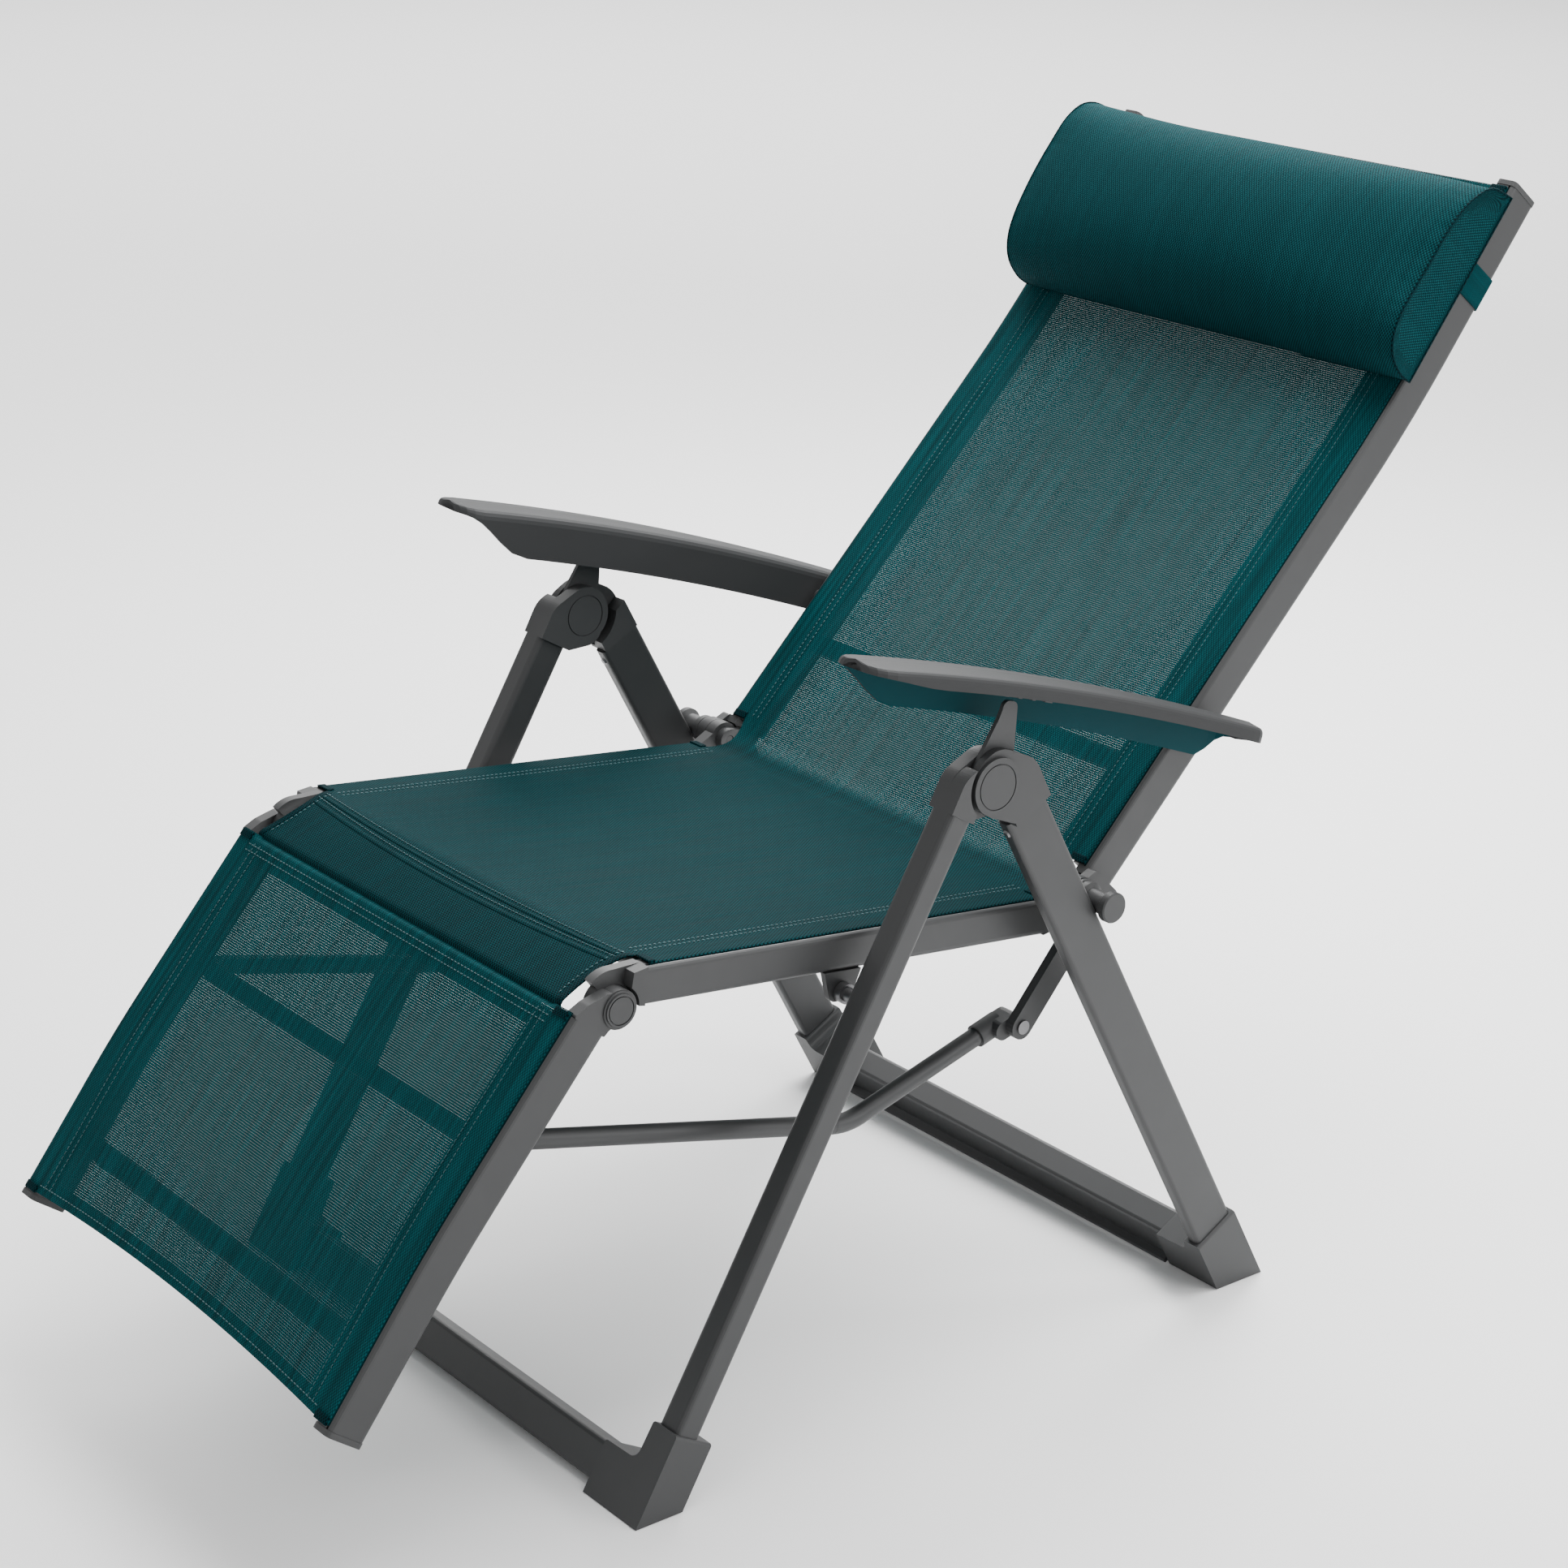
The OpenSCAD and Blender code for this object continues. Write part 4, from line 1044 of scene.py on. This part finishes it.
    def foot_panel(self) -> None:
        """Build the footrest panel, which dips to the knee band's seam and bows up at its lower end."""
        first, last = self.foot_start, self.foot_end
        plain = self.sagging(self.foot.at, self.foot_sag, (first, last))

        def place(x: float, s: float, h: float) -> Point:
            """Point on the panel.

            Args:
                x: Way across.
                s: Way along.
                h: Height over the rails.

            Returns:
                The point in the row frame.
            """
            inner = max(0.0, 1 - (x / self.rail_in) ** 2)
            bow = self.foot_bow * inner * smooth((s - 0.25) / (last - 0.25))
            rise = 1 - smooth((s - first) / self.valley)
            dip = 0.85 * self.valley_depth * rise ** 1.5 * min(1.0, inner * 12)
            return plain.place(x, s - bow, h - dip)

        along = [first + t * MM for t in (0.0, 1.0, 2.0, 3.2, 4.6, 6.2, 8.0)]
        along += steps(first + 12 * MM, last, 44)
        hems = self.side_hems(first + 7 * MM, last - 1 * MM, 40)
        hems += [self.cross_hem(last - 15 * MM, last), self.cross_hem(first, 46 * MM)]
        seams = self.side_seams(self.foot_seam_places, first + 8 * MM, last - 3 * MM, 40)
        seams += [self.cross_seam(s, 236 * MM) for s in (last - 7 * MM, first + 11 * MM, first + 17 * MM)]
        folds = (first + 4.5 * MM, last - 2.2 * MM)
        self.lay(Panel("foot", "footrest", Surface(place), first, last, along, self.finishes.window, hems,
                       seams, folds, hem_low=0.35 * MM))

    def free_edges(self, edge: Factor, inner: Factor, along: Sequence[float],
                   flipped: bool = False) -> List[Strip]:
        """Cross lines of the rolled edges on both sides of a band.

        Args:
            edge: Factor on the band's half width at a value of s.
            inner: Inner x at a value of s.
            along: Values of s.
            flipped: Whether the lines run the other way across.

        Returns:
            The cross lines of the two edges.
        """
        edges = []
        for side in SIDES:
            lines = []
            for s in along:
                x0, x1 = inner(s), self.band_half * edge(s) + 0.6 * MM
                xs = [x0, x0 + 1 * MM, x1 - 1 * MM, x1]
                lines.append([(x, s) for x in mirrored(xs[::-1] if flipped else xs, side)])
            edges.append(lines)
        return edges

    def join(self, band: Object, extras: Sequence[Object], body: str, line: SideLine,
             ends: Pair, length: float, rests_on: Sequence[str], kept: float) -> None:
        """Args:
            band: The band's cloth.
            extras: Ridges, edges and stitches on it.
            body: Body at its other end; not used.
            line: Side-view line of the band.
            ends: Where on that line the blend starts and ends.
            length: Cut length.
            rests_on: Nodes or pieces that hold it; not used.
            kept: Share of the flat size left by the drawn-in edges; not used.
        """
        start, end = ((0.0, *line(s, 0.0)) for s in ends)
        for piece in (band, *extras):
            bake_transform(piece)
            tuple(start)
            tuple(end)
        LOG.info("%s, %.0f mm long, with %s", band.name, length / MM, names(extras))

    def knee_band(self) -> None:
        """Build the band over the knee joint, with its seam ridges."""
        f, length, half = self.finishes, self.knee_length, self.band_half

        def place(x: float, s: float, h: float) -> Point:
            """Return the row-frame point of a point on the band."""
            dip = smooth((s - length + self.valley) / self.valley) ** 1.5 * self.valley_depth
            return (x, *self.knee_line(s, h - dip))

        def edge(s: float) -> float:
            """Return the factor by which the free edges are drawn in."""
            return 1 - self.knee_draw * math.sin(math.pi * clamp(s / length)) ** 0.8

        def bowed(shift: float, bow: float, reach: float) -> Line:
            """Return a line across the band, bowed towards the footrest."""
            return [(x, shift + bow * (1 - (x / half) ** 2)) for x in steps(-reach, reach, 48)]

        surface = Surface(place)
        along = [0.0, 0.5 * MM] + steps(2 * MM, length - 1.5 * MM, 26) + [length - 0.4 * MM, length]
        band = surface.sheet("knee_cloth", [(-x, 0.0) for x in steps(-half, half, 40)], along, f.seat, edge)
        raised = [[[(x, v) for v in steps(s + wide, s, 6)] for x, s in bowed(shift, bow, half - 4 * MM)]
                  for shift, bow, wide in self.ridges]
        ridge = surface.strip("knee_seam_ridges", raised, -0.3 * MM, 0.7 * MM, f.seat, crowned=True)
        edges = self.free_edges(edge, lambda s: half * edge(s) - 7 * MM, steps(1 * MM, length - 1 * MM, 26))
        rolled = surface.strip("knee_edges", edges, -1.2 * MM, 0.7 * MM, f.hem)
        seams = [bowed(shift - 3 * MM, bow, half - 6 * MM) for shift, bow, _ in self.ridges]
        seams += [[(side * (half - 9.5 * MM) * edge(s), s) for s in steps(3 * MM, length - 8 * MM, 20)]
                  for side in SIDES]
        sewn = surface.stitches("knee_stitches", seams, 0.2 * MM, f.thread)
        self.join(band, [ridge, rolled, sewn], "footrest", self.knee_line, (10 * MM, length - 4 * MM),
                  length, ["seat_knee_left", "seat_knee_right"], kept=0.97)

    def crease_band(self) -> None:
        """Build the band between seat and backrest."""
        f, length, half = self.finishes, self.crease_length, self.band_half

        def place(x: float, s: float, h: float) -> Point:
            """Return the row-frame point of a point on the band."""
            return (x, *self.crease_line(clamp(s / length), h))

        def edge(s: float) -> float:
            """Return the factor by which the free edges are drawn in."""
            return 1 - self.crease_draw * math.sin(math.pi * clamp(s / length))

        surface = Surface(place)
        across = [(x, 0.0) for x in steps(-half, half, 40)]
        band = surface.sheet("crease_cloth", across, steps(0.0, length, 16), f.crease, edge)
        along = steps(0.5 * MM, length - 0.5 * MM, 14)
        edges = self.free_edges(edge, lambda s: self.window, along, flipped=True)
        rolled = surface.strip("crease_hems", edges, -1.1 * MM, -0.2 * MM, f.hem)
        self.join(band, [rolled], "backrest", self.crease_line, (0.05, 0.95), length,
                  ["seat_cloth", "back_cloth"], kept=0.98)

    def make(self) -> None:
        """Build all panels and bands."""
        self.back_panel()
        self.seat_panel()
        self.foot_panel()
        self.knee_band()
        self.crease_band()


@dataclass
class HeadCushion:
    """Bolster with a flat back and a full round front, held by an elastic strap."""

    finishes: Finishes
    back: BentRail
    reach: float = 665 * MM
    near_end: float = 269 * MM
    far_end: float = -250.5 * MM
    base: float = 4.5 * MM
    swell: float = 9 * MM
    cap_swell: float = 2.5 * MM
    welt: float = 1.1 * MM
    strap_reach: float = 683 * MM
    strap_width: float = 32 * MM
    strap_thick: float = 1.2 * MM
    # The strap's loop: half its width, its back and front over the rails' faces, and its corner radius
    strap_half: float = 261.2 * MM
    strap_behind: float = -40.6 * MM
    strap_front: float = 2.9 * MM
    strap_corner: float = 5 * MM
    # Depth and reach of the gathers beside the end seams, and the slow unevenness of the whole cover
    gather: float = 1.1 * MM
    gather_way: float = 16 * MM
    unevenness: float = 0.9 * MM
    # Vertices round the front and over the back, rings along the cushion, and rings on an end cap
    front: int = 44
    rear: int = 24
    rings: int = 64
    caps: int = 7
    # Half sections from the lower edge over the front to the upper edge, as (along, above) in mm
    near_section: Tuple[Pair, ...] = (
        (-100, 0), (-101, 16), (-95, 36), (-80, 50), (-58, 56), (-30, 56),
        (0, 55), (25, 55), (50, 52), (73, 44), (92, 29), (100, 0))
    middle_section: Tuple[Pair, ...] = (
        (-99, 0), (-101, 18), (-96, 42), (-82, 60), (-60, 71), (-30, 77),
        (0, 79), (30, 77), (60, 70), (82, 54), (96, 29), (99, 0))
    far_section: Tuple[Pair, ...] = (
        (-96, 0), (-97, 18), (-90, 40), (-74, 55), (-52, 63), (-26, 67),
        (2, 69), (32, 69), (64, 67), (88, 56), (101, 32), (101, 0))

    def section(self, x: float) -> np.ndarray:
        """Half section at a place along the cushion.

        Args:
            x: The place.

        Returns:
            Points (along, above) in metres.
        """
        t = (x - self.far_end) / (self.near_end - self.far_end)
        end = np.array(self.far_section if t < 0.5 else self.near_section)
        middle = np.array(self.middle_section)
        return (end + (middle - end) * math.sin(math.pi * t) ** 0.6) * MM

    def to_world(self, x: float, along: float, above: float) -> Point:
        """Row-frame point of a cushion point.

        Args:
            x: Way across the chair.
            along: Way up the backrest from the cushion's middle.
            above: Height over the cushion's flat back.

        Returns:
            The point.
        """
        here = np.array(self.back.at(self.reach, 0.0))
        way = (np.array(self.back.at(self.reach + 1 * MM, 0.0)) - here) / MM
        return (x, *(here + way * along + np.array((-way[1], way[0])) * (above + self.base)))

    @staticmethod
    def fair_line(points: np.ndarray, count: int) -> np.ndarray:
        """Put even points on a smooth line through the given ones.

        Args:
            points: Control points.
            count: Number of points less one.

        Returns:
            The points.
        """
        ends = np.vstack([2 * points[0] - points[1], points, 2 * points[-1] - points[-2]])
        dense = []
        for i in range(1, len(ends) - 2):
            p0, p1, p2, p3 = ends[i - 1:i + 3]
            for t in np.linspace(0, 1, 12, endpoint=False):
                dense.append(0.5 * (2 * p1 + (p2 - p0) * t + (2 * p0 - 5 * p1 + 4 * p2 - p3) * t * t
                                    + (3 * p1 - p0 - 3 * p2 + p3) * t ** 3))
        dense = np.array(dense + [points[-1]])
        return along_line(dense, np.linspace(0, run_lengths(dense)[-1], count + 1))

    def loop(self, x: float) -> np.ndarray:
        """Return the closed section at x: the front line, then the flat back."""
        line = self.fair_line(self.section(x), self.front)
        return np.vstack([line, np.linspace(line[-1], line[0], self.rear + 1)[1:-1]])

    def build_cover(self) -> Tuple[Object, List[int], List[int]]:
        """Build the sewn cover before it is stuffed.

        Returns:
            The cover, the vertex numbers of its two end seams and those of its back.
        """
        count, rings = self.front + self.rear, self.rings
        points, uvs = [], []
        for j in range(rings + 1):
            x = self.far_end + (self.near_end - self.far_end) * (0.5 - 0.5 * math.cos(math.pi * j / rings))
            loop = self.loop(x)
            points += [self.to_world(x, a, h) for a, h in loop]
            uvs += [(x, v) for v in run_lengths(loop)]
        faces = tube_faces(range(0, (rings + 1) * count, count), count, turned=True)
        seams = list(range(count)) + list(range(rings * count, (rings + 1) * count))
        backs = [j * count + i for j in range(rings + 1) for i in (*range(self.front, count), 0)]
        for side, x, ring in ((-1, self.far_end, 0), (1, self.near_end, rings * count)):
            loop = self.loop(x)
            middle = np.array((loop[:, 0].mean(), loop[:, 1].max() * 0.45))
            quads = []
            for c in range(1, self.caps + 1):
                share, start = c / self.caps, len(points)
                out = x + side * self.cap_swell * math.sin(math.pi * 0.5 * share)
                for a, h in (middle + (loop - middle) * (1 - share) if c < self.caps else [middle]):
                    points.append(self.to_world(out, a, h))
                    uvs.append((a, h))
                if c < self.caps:
                    quads += tube_faces((ring, start), count, turned=True)
                    ring = start
            quads += [(ring + i, start, ring + (i + 1) % count) for i in range(count)]
            faces += quads if side < 0 else [quad[::-1] for quad in quads]
        cover = new_object("head_cushion_cover", points, faces, self.finishes.cushion, uvs)
        return cover, seams, backs

    def stuff(self, cover: Object, seams: Sequence[int], backs: Sequence[int]) -> None:
        """Swell the cover with a cloth simulation and keep the result on its mesh.

        Args:
            cover: The sewn cover.
            seams: Vertices on the end seams.
            backs: Vertices on the flat back.
        """
        held = cover.vertex_groups.new(name="held")
        held.add(list(set(backs)), 1.0, "REPLACE")
        held.add(list(set(seams) - set(backs)), 0.85, "REPLACE")
        rest = read_points(cover)
        cloth = cover.modifiers.new("stuffing", "CLOTH")
        settings = {"quality": 6, "mass": 0.3, "tension_stiffness": 12, "compression_stiffness": 12,
                    "shear_stiffness": 6, "bending_stiffness": 0.4, "use_pressure": True,
                    "uniform_pressure_force": 4.0, "vertex_group_mass": "held"}
        for name, value in settings.items():
            setattr(cloth.settings, name, value)
        cloth.settings.effector_weights.gravity = 0.0
        cloth.collision_settings.use_collision = False
        for number in range(1, 17):
            bpy.context.scene.frame_set(number)
        shaped = cover.evaluated_get(bpy.context.evaluated_depsgraph_get())
        moved = read_points(shaped) - rest
        cover.modifiers.remove(cloth)
        bpy.context.scene.frame_set(1)
        length = np.clip(np.linalg.norm(moved, axis=1, keepdims=True), 1e-9, None)
        moved *= self.swell * np.tanh(length / self.swell) / length
        write_points(cover, rest + moved)
        cover.vertex_groups.clear()
        LOG.info("stuffed the head cushion, %.1f mm of swell", length.max() / MM)

    def pucker(self, cover: Object) -> None:
        """Draw the cloth in beside the end seams, as gathered sewing does.

        Args:
            cover: The stuffed cover.
        """
        cover.data.update()
        normals = np.array([v.normal for v in cover.data.vertices])
        place = read_points(cover)
        for v, (x, y, z) in enumerate(place):
            near = min(abs(x - self.near_end), abs(x - self.far_end))
            wave = math.sin(z * 430 + y * 290) * 0.6 + math.sin(z * 210 - y * 350 + 1.3) * 0.4
            fading = math.exp(-(near / self.gather_way) ** 1.3) * (1 - math.exp(-near / (2 * MM)))
            broad = self.unevenness * math.sin(x * 21 + 0.6) * math.sin(z * 34 + x * 9)
            place[v] += normals[v] * (self.gather * wave * fading + broad * min(1.0, near / (40 * MM)))
        write_points(cover, place)

    def refine(self, cover: Object) -> None:
        """Add one subdivision and keep it on the mesh.

        Args:
            cover: The finished cover.
        """
        finer = cover.modifiers.new("finer", "SUBSURF")
        finer.levels = finer.render_levels = 1
        shaped = cover.evaluated_get(bpy.context.evaluated_depsgraph_get())
        mesh = bpy.data.meshes.new_from_object(shaped)
        cover.modifiers.clear()
        cover.data = mesh
        smooth_shaded(mesh)

    def seam_welts(self, cover: Object, seams: Sequence[int]) -> Object:
        """Lay a fine welt on the two end seams.

        Args:
            cover: The stuffed cover, before its subdivision.
            seams: Vertices on the end seams.

        Returns:
            The welts.
        """
        points, faces, uvs = [], [], []
        half, count = len(seams) // 2, 6
        for ring in (seams[:half], seams[half:]):
            path = [cover.data.vertices[i].co.copy() for i in ring]
            middle = sum(path, Vector()) / len(path)
            start = len(points)
            for i, p in enumerate(path):
                way = (path[(i + 1) % half] - path[i - 1]).normalized()
                out = (p - middle).normalized()
                out = (out - way * out.dot(way)).normalized()
                third = way.cross(out)
                for k in range(count):
                    u, v = heading(360 * k / count) * self.welt
                    points.append(p + out * (u - 0.2 * MM) + third * v)
                    uvs.append((k * 1.2 * MM, i * 5 * MM))
            faces += tube_faces([*range(start, len(points), count), start], count)
        return new_object("head_cushion_seams", points, faces, self.finishes.hem, uvs)

    def strap(self) -> None:
        """Build the elastic strap round both back rails."""
        r = self.strap_corner
        out, low, high = self.strap_half - r, self.strap_behind + r, self.strap_front - r
        path, normals = [], []
        for k, centre in enumerate(((out, high), (out, low), (-out, low), (-out, high))):
            for i in range(6):
                normals.append(heading(90 - 90 * k - 90 * i / 5))
                path.append(np.array(centre) + r * normals[-1])
        across = steps(-self.strap_width / 2, self.strap_width / 2, 8)
        ring = 2 * len(across)
        way = run_lengths(np.array(path + path[:1]))
        points, uvs = [], []
        for spot, normal, run in zip(path, normals, way):
            for inset, row in ((0.0, across), (self.strap_thick, across[::-1])):
                x, h = spot - normal * inset
                points += [(x, *self.back.at(self.strap_reach + w, h)) for w in row]
                uvs += [(w, run) for w in row]
        faces = tube_faces([*range(0, len(points), ring), 0], ring)
        band = new_object("cushion_strap_band", points, faces, self.finishes.strap, uvs)
        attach(band, "backrest")
        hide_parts("cushion_strap")
        LOG.info("%s, %.0f mm round", band.name, way[-1] / MM)

    def make(self) -> None:
        """Build the cushion and the strap."""
        cover, seams, backs = self.build_cover()
        self.stuff(cover, seams, backs)
        self.pucker(cover)
        welts = self.seam_welts(cover, seams)
        self.refine(cover)
        for piece in (cover, welts):
            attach(piece, "backrest")
        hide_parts("head_cushion")
        LOG.info("%s, %.0f mm long", names((cover, welts)), (self.near_end - self.far_end) / MM)
        self.strap()


@dataclass
class Studio:
    """Pale floor, soft light and the camera."""

    lens: float = 76.646
    shift: Pair = (-0.0221, -0.0521)
    place: Point = (2.239586, -1.827371, 1.504127)
    right: Point = (0.62987, 0.77616, 0.028955)
    up: Point = (-0.259347, 0.175033, 0.949791)
    forward: Point = (-0.732122, 0.605755, -0.311543)
    floor_half: float = 30.0
    floor_z: float = -0.6 * MM
    world_strength: float = 0.84

    def camera(self) -> None:
        """Set the camera at the photograph's place."""
        data = bpy.data.cameras.new("view")
        data.lens, data.sensor_width = self.lens, 36.0
        data.shift_x, data.shift_y = self.shift
        data.clip_start, data.clip_end = 0.05, 60.0
        made = link_object("view", data)
        back = tuple(-value for value in self.forward)
        made.matrix_world = Matrix((*zip(self.right, self.up, back, self.place), (0, 0, 0, 1)))
        bpy.context.scene.camera = made

    def floor(self) -> None:
        """Lay the pale floor."""
        r = Recipe("pale_floor")
        r.set(Base_Color=(0.93, 0.93, 0.93, 1.0), Roughness=0.9)
        half, z = self.floor_half, self.floor_z
        corners = [(-half, -half, z), (half, -half, z), (half, half, z), (-half, half, z)]
        new_object("floor", corners, [(0, 1, 2, 3)], r.material)

    def lamp(self, name: str, place: Point, target: Point, size: float, power: float) -> None:
        """Hang a soft square lamp.

        Args:
            name: Name of the lamp.
            place: Its place.
            target: Point that it looks at.
            size: Side in metres.
            power: Watts.
        """
        data = bpy.data.lights.new(name, "AREA")
        data.size, data.energy = size, power
        made = link_object(name, data)
        made.location = place
        made.rotation_mode = "QUATERNION"
        made.rotation_quaternion = (Vector(target) - Vector(place)).to_track_quat("-Z", "Y")

    def light(self) -> None:
        """Set the world and the lamps; the last one lights the floor behind the chair."""
        world = bpy.data.worlds.new("studio")
        world.use_nodes = True
        back = world.node_tree.nodes["Background"]
        back.inputs[0].default_value = (1.0, 1.0, 1.0, 1.0)
        back.inputs[1].default_value = self.world_strength
        bpy.context.scene.world = world
        self.lamp("rear_key", (-1.4, 1.9, 2.6), (0.0, 0.2, 0.6), 1.8, 125.0)
        self.lamp("top", (0.3, 0.8, 2.9), (0.0, 0.2, 0.4), 2.0, 108.0)
        self.lamp("side", (2.8, 1.6, 1.8), (0.0, 0.3, 0.6), 1.8, 48.0)
        self.lamp("backdrop", (-6.0, 5.0, 5.0), (-6.0, 5.0, 0.0), 8.0, 750.0)

    def make(self) -> None:
        """Set up the whole studio."""
        self.camera()
        self.floor()
        self.light()
        LOG.info("studio set")


def main() -> None:
    """Build and dress the chair."""
    logging.basicConfig(level=logging.INFO, format="%(message)s")
    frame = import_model()
    centres = {joint["name"]: joint["pos_m"] for joint in frame["joints"]}
    finishes = Finishes.make()
    Studio().make()
    MetalWork(finishes).dress(frame["nodes"], frame["record"])
    sling = Sling(finishes, tuple(centres["back_recline"][1:]), tuple(centres["foot_lift"][1:]))
    sling.make()
    HeadCushion(finishes, sling.back).make()


if __name__ == "__main__":
    main()
